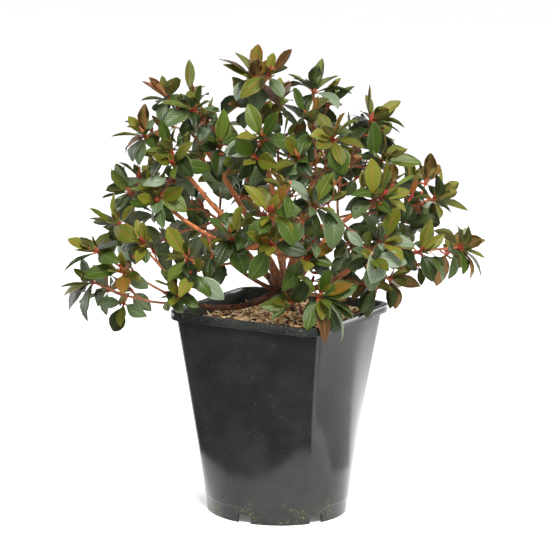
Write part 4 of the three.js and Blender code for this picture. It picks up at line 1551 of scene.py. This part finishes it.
# Height and radius up the pot's foot and round skirt, from the recess in its underside.
FOOT_SECTION = (
    (RECESS_HEIGHT, BASE_RADIUS - POT_WALL),
    (0.5, BASE_RADIUS - POT_WALL),
    (0, BASE_RADIUS - POT_WALL + 0.4),
    (0, BASE_RADIUS - 0.5),
    (0.5, BASE_RADIUS),
    (NOTCH_HEIGHT, mix(BASE_RADIUS, SKIRT_TOP_RADIUS, 0.53)),
    (SKIRT_HEIGHT - 0.4, SKIRT_TOP_RADIUS),
    (SKIRT_HEIGHT, SKIRT_TOP_RADIUS + 0.1),
)
# Height from the raised mould line round the wall, and how far it stands in.
MOULD_LINE_DROP = 20
MOULD_LINE_CLEAR = 2
MOULD_LINE = ((-1.1, 0), (-0.5, 0), (0, -0.1), (0.5, 0), (1.1, 0))
# Height from the lip's underside, and how far the lip stands in from its widest.
UNDER_LIP = POT_HEIGHT - LIP_HEIGHT
LIP_ROUND = 1.1
LIP_SECTION = (
    (0.1, LIP_ROUND * 1.6), (0.35, LIP_ROUND * 0.5), (LIP_ROUND, 0),
    (LIP_HEIGHT - LIP_ROUND, 0), (LIP_HEIGHT - 0.32, 0.33), (LIP_HEIGHT, LIP_ROUND),
)
SHARP_EDGE = 34


def wall_radius(angle, height, inset):
    """The wall runs straight from a circle at the skirt to a rounded square at the rim."""
    share = (height - SKIRT_HEIGHT) / (POT_HEIGHT - SKIRT_HEIGHT)
    top = square_radius(angle, RIM_SIDE / 2 - LIP_OVERHANG, RIM_CORNER - LIP_OVERHANG)
    return mix(BODY_FOOT_RADIUS, top, share) - inset


def pot_rows():
    """Rows of (height, radius at an angle), from the recess over the wall to the inner floor."""
    def round_row(height, radius):
        return height, lambda angle: radius

    def wall_row(height, inset=0.0):
        return height, lambda angle: wall_radius(angle, height, inset)

    def lip_row(height, inset):
        return height, lambda angle: square_radius(angle, RIM_SIDE / 2, RIM_CORNER) - inset

    line = POT_HEIGHT - MOULD_LINE_DROP
    wall = (SKIRT_HEIGHT + MOULD_LINE_CLEAR, line - MOULD_LINE_CLEAR)
    inside = (POT_HEIGHT - 4, FLOOR_TOP + FLOOR_ROUND)
    rows = [round_row(height, radius) for height, radius in FOOT_SECTION]
    rows += [wall_row(SKIRT_HEIGHT + LEDGE), wall_row(SKIRT_HEIGHT + LEDGE + LEDGE_ROUND)]
    rows += [wall_row(mix(*wall, i / WALL_STEPS)) for i in range(WALL_STEPS + 1)]
    rows += [wall_row(line + height, inset) for height, inset in MOULD_LINE]
    rows += [wall_row(UNDER_LIP - 2.4), wall_row(UNDER_LIP - 0.5), wall_row(UNDER_LIP)]
    rows += [lip_row(UNDER_LIP + height, inset) for height, inset in LIP_SECTION]
    rows += [wall_row(POT_HEIGHT, POT_WALL - 0.5), wall_row(POT_HEIGHT - 0.6, POT_WALL)]
    rows += [wall_row(mix(*inside, i / INSIDE_STEPS), POT_WALL) for i in range(INSIDE_STEPS + 1)]
    rows += [wall_row(FLOOR_TOP, POT_WALL + FLOOR_ROUND)]
    return rows


def make_pot():
    """The pot as one moulded shell, with a rolled lip, a mould line, a skirt and drain notches."""
    angles = [2 * math.pi * k / POT_SIDES for k in range(POT_SIDES)]
    rings = [[(radius(a) * math.cos(a), radius(a) * math.sin(a), height) for a in angles]
             for height, radius in pot_rows()]
    pot = add_object("pot_shell", plain_mesh("pot_shell", *rings_mesh(rings)))
    cutter = add_object("notches", notch_mesh())
    cut = pot.modifiers.new("notches", "BOOLEAN")
    cut.object = cutter
    cut.operation = "DIFFERENCE"
    cut.solver = "EXACT"
    graph = bpy.context.evaluated_depsgraph_get()
    mesh = bpy.data.meshes.new_from_object(pot.evaluated_get(graph))
    pot.modifiers.remove(cut)
    pot.data = mesh
    bpy.data.objects.remove(cutter)
    mesh.materials.clear()
    mesh.materials.append(pot_finish())
    smooth_faces(mesh)
    mesh.set_sharp_from_angle(angle=math.radians(SHARP_EDGE))
    return dress(pot, "pot", "pot")


def notch_mesh():
    """The drain notches, all as one mesh of boxes."""
    points = []
    faces = []
    box_faces = ((0, 1, 3, 2), (4, 6, 7, 5), (0, 4, 5, 1), (2, 3, 7, 6), (0, 2, 6, 4), (1, 5, 7, 3))
    for i in range(NOTCH_COUNT):
        turn = math.radians(NOTCH_FIRST_BEARING + 360 / NOTCH_COUNT * i)
        first = len(points)
        for x in (BASE_RADIUS - NOTCH_DEPTH / 2, BASE_RADIUS + NOTCH_DEPTH / 2):
            for y in (-NOTCH_WIDTH / 2, NOTCH_WIDTH / 2):
                for z in (-NOTCH_HEIGHT, NOTCH_HEIGHT):
                    points.append((x * math.cos(turn) - y * math.sin(turn),
                                   x * math.sin(turn) + y * math.cos(turn), z))
        faces += [tuple(first + corner for corner in face) for face in box_faces]
    return plain_mesh("notches", points, faces)


def pot_finish():
    """Black moulded plastic with fine dust, scuffs on the rim and algae on the skirt."""
    finish = Finish("pot_plastic")
    _, _, height = finish.split(finish.place())
    outward = finish.node("ShaderNodeTexCoord", output="Normal")
    facing = finish.node("ShaderNodeVectorMath", {"operation": "DOT_PRODUCT"},
                         {0: finish.place(), 1: outward}, "Value")
    inside = 1 - facing.smooth(-0.03, 0)
    haze = finish.noise(22, 4.0, 0.6)
    grain = finish.noise(1600, 2.0)
    dust = 1 - finish.cells(330).smooth(0.02, 0.10)
    dust = dust * finish.noise(130, 1.0).smooth(0.48, 0.62)
    low = 1 - height.smooth(0.004, 0.034)
    algae = finish.noise(620, 4.0, 0.7).smooth(0.55, 0.66) * finish.noise(70, 2.0).smooth(0.42, 0.6)
    scuffs = height.smooth(0.190, 0.199) * finish.noise(420, 4.0).smooth(0.57, 0.7)
    colour = finish.blended(haze.smooth(0.3, 0.75), srgb(24, 26, 25), srgb(38, 40, 38))
    colour = finish.blended(dust * 0.75, colour, srgb(170, 168, 156))
    colour = finish.blended(low * algae * 0.9, colour, srgb(136, 130, 60))
    colour = finish.blended(scuffs * 0.35, colour, srgb(128, 124, 112))
    return finish.set(
        Base_Color=colour,
        Roughness=haze * 0.10 + low * algae * 0.4 + dust * 0.3 + inside * 0.5 + 0.10,
        Specular_IOR_Level=0.3,
        Normal=finish.bump(grain + haze * 0.5, 0.00012, 0.2),
    ).material


# ---------------------------------------------------------------- soil and mulch

SOIL_SIDES = 96
SOIL_ROWS = (FLOOR_TOP + GAP, 60, 120, 170)
MOUND_RINGS = 26
MOUND_CURVE = 1.3
CRUMB_SCALE = 0.25
CRUMB_DEPTH = 1.3
CRUMB_SUNK = 1.2

CHIP_DENSITY = 100000
CHIP_SEED = 11
CHIP_FORM_SEED = 300
CHIP_FORMS = 9
CHIP_HALF_LENGTH = (2.4, 7.0)
CHIP_HALF_WIDTH = (0.45, 1.6)
CHIP_HALF_HEIGHT = (0.25, 0.6)
CHIP_BOW = (-0.8, 1.2)
CHIP_STATIONS = (-1, -0.55, 0, 0.5, 1)
CHIP_END = 0.45
BED_SIDES = 72
BED_RINGS = 16
# Chip tones: name, light and dark grain, and the draws from 0 to 9 that give the tone.
CHIP_TONES = (
    ("chip_straw", (254, 220, 154), (204, 152, 90), (0, 1, 2)),
    ("chip_pale", (255, 250, 222), (246, 214, 158), (3, 4, 5)),
    ("chip_tan", (190, 126, 68), (112, 66, 34), (6, 7)),
    ("chip_bark", (98, 50, 26), (44, 24, 14), (8, 9)),
)


def soil_edge(angle):
    """Height of the soil at the wall, with its dip at one side."""
    turn = angle - math.radians(SOIL_DIP_BEARING)
    return SOIL_EDGE - SOIL_DIP * max(0, math.cos(turn)) ** 3


def soil_height(angle, share):
    """Height of the mound at a share of the way from its flat top to the wall."""
    return mix(SOIL_TOP, soil_edge(angle), share ** MOUND_CURVE)


def make_soil():
    """The filled mound: crumbly on top, plain where it meets the pot's wall and floor."""
    sides = SOIL_SIDES
    rings = []
    for height in SOIL_ROWS:
        rings.append([ring_point(k, sides, height, 1.0) for k in range(sides)])
    for i in range(MOUND_RINGS + 1):
        share = 1 - i / MOUND_RINGS
        ring = []
        for k in range(sides):
            angle = 2 * math.pi * k / sides
            top = soil_height(angle, share)
            spot = ring_point(k, sides, top, max(share, 0.02))
            crumb = noise.noise(Vector((spot[0] * CRUMB_SCALE, spot[1] * CRUMB_SCALE, 3.0)))
            ring.append((spot[0], spot[1], top - CRUMB_SUNK + CRUMB_DEPTH * crumb))
        rings.append(ring)
    points, faces = rings_mesh(rings)
    piece = add_object("soil_bed", smooth_faces(plain_mesh("soil_bed", points, faces)))
    piece.data.materials.append(soil_finish())
    return dress(piece, "soil", "soil")


def ring_point(k, sides, height, share):
    """A point of a ring, at a share of the way from the pot's axis to its inside."""
    angle = 2 * math.pi * k / sides
    radius = share * wall_radius(angle, height, POT_WALL + GAP)
    return (radius * math.cos(angle), radius * math.sin(angle), height)


def soil_finish():
    finish = Finish("peat")
    crumbs = finish.cells(320)
    blotch = finish.noise(60, 4.0)
    colour = finish.blended(blotch.smooth(0.35, 0.65), srgb(34, 22, 16), srgb(74, 50, 34))
    return finish.set(
        Base_Color=finish.blended(crumbs.smooth(0.2, 0.7) * 0.4, colour, srgb(130, 100, 66)),
        Roughness=blotch * 0.1 + 0.85,
        Normal=finish.bump(crumbs, 0.0014, 1.0),
    ).material


def chip_form(index):
    """A splinter of wood, about 8 mm long, flat, with ragged ends."""
    random = seeded(CHIP_FORM_SEED + index)
    half_length = mix(*CHIP_HALF_LENGTH, random())
    half_width = mix(*CHIP_HALF_WIDTH, random() ** 1.5)
    half_height = mix(*CHIP_HALF_HEIGHT, random())
    bow = mix(*CHIP_BOW, random())
    points = []
    for s in CHIP_STATIONS:
        end = CHIP_END if abs(s) == 1 else 1
        jitter = 0.35 * (random() - 0.5)
        for x, z in ((-1, -1), (1, -1), (1, 1), (-1, 1)):
            ragged = 0.5 * (random() - 0.5) if abs(s) == 1 else 0
            points.append(((x * end + jitter) * half_width, (s + ragged * 0.3) * half_length,
                           z * half_height * end + bow * s * s))
    faces = [(0, 1, 2, 3), (19, 18, 17, 16)]
    faces += band_faces(len(CHIP_STATIONS), 4, turned=True)
    mesh = plain_mesh(f"chip_form_{index}", points, faces)
    return bpy.data.objects.new(mesh.name, mesh)


def chip_finish(name, light, dark):
    finish = Finish(name)
    grain = finish.noise(1.0, 4.0, 0.6, finish.stretched(900, 900, 260))
    return finish.set(
        Base_Color=finish.blended(grain.smooth(0.3, 0.7), srgb(*dark), srgb(*light)),
        Roughness=grain * 0.2 + 0.65,
        Normal=finish.bump(grain, 0.0005, 0.8),
    ).material


def chip_bed():
    """The mound's upper side, where the chips lie."""
    sides = BED_SIDES
    shares = [0.14 + 0.84 * i / BED_RINGS for i in range(BED_RINGS + 1)]
    points = []
    for share in shares:
        for k in range(sides):
            angle = 2 * math.pi * k / sides
            top = soil_height(angle, share)
            spot = ring_point(k, sides, top, share)
            points.append((spot[0], spot[1], top))
    faces = band_faces(len(shares), sides, turned=True)
    return add_object("chip_bed", plain_mesh("chip_bed", points, faces))


def keep_in_pot(mesh):
    """Presses the chips' ends that would stick through the pot's wall flat against its inside."""
    for vertex in mesh.vertices:
        x, y, z = vertex.co
        bound = wall_radius(math.atan2(y, x), z / MM, POT_WALL + GAP) * MM
        share = min(1, bound / math.hypot(x, y))
        vertex.co = (x * share, y * share, z)
    mesh.update()


def make_chips():
    """Wood chips strewn over the mound, most of them pale."""
    forms = form_collection("chip_forms", [chip_form(i) for i in range(CHIP_FORMS)])
    grower = Grower("mulch_chips")
    collection = grower.size("Forms", "NodeSocketCollection", forms)
    density = grower.size("Density", "NodeSocketFloat", CHIP_DENSITY)
    seed = grower.size("Seed", "NodeSocketInt", CHIP_SEED)
    lie = grower.size("Lie", "NodeSocketFloat", 0.45)
    cloud = grower.tree.nodes.new("GeometryNodeDistributePointsOnFaces")
    fill_sockets(grower.tree, cloud, {"distribute_method": "RANDOM"}, {
        "Mesh": grower.geometry(), "Density": density, "Seed": seed})
    tilt = grower.node("FunctionNodeRandomValue", {"data_type": "FLOAT_VECTOR"}, {
        0: (-1.0, -1.0, -3.14), 1: (1.0, 1.0, 3.14), "Seed": seed})
    lean = grower.node("ShaderNodeCombineXYZ", {}, {0: lie, 1: lie, 2: 1.0})
    euler = grower.node("ShaderNodeVectorMath", {"operation": "MULTIPLY"}, {0: tilt, 1: lean})
    turn = grower.node("FunctionNodeEulerToRotation", {}, {0: euler})
    instances = grower.node("GeometryNodeCollectionInfo", {}, {
        "Collection": collection, "Separate Children": True, "Reset Children": True})
    pick = grower.node("FunctionNodeRandomValue", {"data_type": "INT"}, {
        4: 0, 5: 8, "Seed": 5}, 2)
    size = grower.node("FunctionNodeRandomValue", {"data_type": "FLOAT"}, {
        2: 0.75, 3: 1.5, "Seed": 6}, 1)
    placed = grower.node("GeometryNodeInstanceOnPoints", {}, {
        "Points": Field(cloud.outputs["Points"]), "Instance": instances, "Pick Instance": True,
        "Instance Index": pick, "Rotation": turn, "Scale": size})
    shade = grower.node("FunctionNodeRandomValue", {"data_type": "INT"}, {
        4: 0, 5: 9, "Seed": 7}, 2)
    marked = grower.node("GeometryNodeStoreNamedAttribute",
                         {"data_type": "INT", "domain": "INSTANCE"},
                         {"Geometry": placed, "Name": "shade", "Value": shade})
    result = grower.node("GeometryNodeRealizeInstances", {}, {"Geometry": marked})
    marks = grower.named("shade", "INT")
    for name, light, dark, places in CHIP_TONES:
        material = chip_finish(name, light, dark)
        for number in places:
            result = grower.node("GeometryNodeSetMaterial", {}, {
                "Geometry": result, "Selection": grower.equals(marks, number),
                "Material": material})
    mesh = grower.run(chip_bed(), result)
    keep_in_pot(mesh)
    drop_attributes(mesh)
    return dress(add_object("mulch_chips", mesh), "soil")


# ---------------------------------------------------------------- stage, light and camera

CAMERA_BEARING = 27.795
CAMERA_RISE = 10.48
CAMERA_DISTANCE = 2501
CAMERA_ROLL = 0.955
CAMERA_TARGET = (-3.65, -1.92, 229.65)
FOCAL_PIXELS = 2591.97
PICTURE_WIDTH = 553
SENSOR_WIDTH = 36
FLOOR_REACH = 16
FLAG_INNER = 0.19
FLAG_OUTER = 3
FLAG_STEP = 6
FLAG_HEIGHT = 0.002
# Cloths on the floor: name, left and right bearing from the camera, and the weave's two greys.
FLAGS = (
    ("black_cloth", -124, 62, 0.02, 0.03),
    ("grey_cloth", 84, 126, 0.42, 0.46),
)
ROOM_LOW_RISE = 0.0
ROOM_TOP_RISE = 0.6
ROOM_LOW_LIGHT = 0.3
ROOM_TOP_LIGHT = 1.0
FLOOR_GLOW = 0.13
LIGHT_AIM = Vector((0, 0, 0.25))
# Soft boxes: name, bearing from the camera, rise, distance, width, height and power.
LIGHTS = (
    ("key", 12, 48, 2.2, 0.7, 0.7, 90),
    ("left_edge", -122, 12, 2.4, 1.2, 1.8, 40),
    ("right_edge", 122, 12, 2.4, 1.6, 1.8, 52),
)


def view_way(bearing, rise):
    """Unit vector from the target back to a camera at a bearing and a rise."""
    a = math.radians(bearing)
    e = math.radians(rise)
    return Vector((math.sin(a) * math.cos(e), -math.cos(a) * math.cos(e), math.sin(e)))


def make_camera():
    data = bpy.data.cameras.new("camera")
    data.sensor_width = SENSOR_WIDTH
    data.lens = FOCAL_PIXELS / PICTURE_WIDTH * SENSOR_WIDTH
    data.clip_end = 100
    camera = add_object("camera", data)
    back = view_way(CAMERA_BEARING, CAMERA_RISE)
    right = Vector((0, 0, 1)).cross(back).normalized()
    above = back.cross(right)
    turn = Matrix((right, above, back)).transposed()
    turn = turn @ Matrix.Rotation(math.radians(CAMERA_ROLL), 3, "Z")
    target = Vector(CAMERA_TARGET) * MM
    camera.matrix_world = Matrix.Translation(target + back * CAMERA_DISTANCE * MM) @ turn.to_4x4()
    bpy.context.scene.camera = camera


def add_light(name, bearing, rise, distance, width, height, power):
    """A soft box that looks at the middle of the plant."""
    data = bpy.data.lights.new(name, "AREA")
    data.shape = "RECTANGLE"
    data.size = width
    data.size_y = height
    data.energy = power
    light = add_object(name, data)
    way = view_way(CAMERA_BEARING + bearing, rise)
    light.location = LIGHT_AIM + way * distance
    light.rotation_euler = way.to_track_quat("Z", "Y").to_euler()
    light.visible_camera = False


def make_floor():
    """A plain white floor with a faint glow, painted light that also lights the plant from below."""
    corners = [(x * FLOOR_REACH, y * FLOOR_REACH, 0)
               for x, y in ((-1, -1), (1, -1), (1, 1), (-1, 1))]
    mesh = bpy.data.meshes.new("floor")
    mesh.from_pydata(corners, [], [(0, 1, 2, 3)])
    finish = Finish("floor_white")
    cloud = finish.noise(3.0, 2.0)
    finish.set(
        Base_Color=finish.blended(cloud, (0.90, 0.90, 0.90, 1), (0.93, 0.93, 0.93, 1)),
        Roughness=0.8,
        Emission_Color=(1, 1, 1, 1),
        Emission_Strength=FLOOR_GLOW,
    )
    mesh.materials.append(finish.material)
    add_object("floor", mesh)


def make_flag(name, left, right, dark, light):
    """A cloth laid round a side of the pot, that only shows in reflections."""
    steps = round((right - left) / FLAG_STEP)
    corners = []
    for i in range(steps + 1):
        bearing = CAMERA_BEARING + mix(left, right, i / steps)
        for reach in (FLAG_INNER, FLAG_OUTER):
            corners.append(view_way(bearing, 0) * reach + Vector((0, 0, FLAG_HEIGHT)))
    faces = [(2 * i, 2 * i + 1, 2 * i + 3, 2 * i + 2) for i in range(steps)]
    mesh = bpy.data.meshes.new(name)
    mesh.from_pydata(corners, [], faces)
    finish = Finish(name)
    weave = finish.noise(40.0, 2.0)
    finish.set(
        Base_Color=finish.blended(weave, (dark, dark, dark, 1), (light, light, light, 1)),
        Roughness=0.9,
    )
    mesh.materials.append(finish.material)
    flag = add_object(name, mesh)
    flag.visible_camera = False
    flag.visible_diffuse = False
    flag.visible_shadow = False


def make_room():
    """A white room, brighter overhead than at the sides."""
    world = bpy.data.worlds.new("room")
    bpy.context.scene.world = world
    world.use_nodes = True
    tree = world.node_tree
    where = tree.nodes.new("ShaderNodeTexCoord")
    parts = tree.nodes.new("ShaderNodeSeparateXYZ")
    tree.links.new(where.outputs["Generated"], parts.inputs[0])
    rise = tree.nodes.new("ShaderNodeMapRange")
    rise.interpolation_type = "SMOOTHSTEP"
    rise.inputs["From Min"].default_value = ROOM_LOW_RISE
    rise.inputs["From Max"].default_value = ROOM_TOP_RISE
    rise.inputs["To Min"].default_value = ROOM_LOW_LIGHT
    rise.inputs["To Max"].default_value = ROOM_TOP_LIGHT
    tree.links.new(parts.outputs["Z"], rise.inputs["Value"])
    background = tree.nodes["Background"]
    background.inputs["Color"].default_value = (1, 1, 1, 1)
    tree.links.new(rise.outputs["Result"], background.inputs["Strength"])


def make_stage():
    """A plain pale floor, a soft white room and soft boxes."""
    make_floor()
    for flag in FLAGS:
        make_flag(*flag)
    make_room()
    for light in LIGHTS:
        add_light(*light)
    bpy.context.scene.view_settings.view_transform = "Standard"


# ---------------------------------------------------------------- the whole plant

make_camera()
make_stage()
make_pot()
make_soil()
make_chips()
make_trunk()
make_boughs()
GROWN = [refine(grow_mass(LIMBS[name])) for name in STEM_NAMES]
make_twigs(GROWN)
make_buds(GROWN)
make_leaves(GROWN)
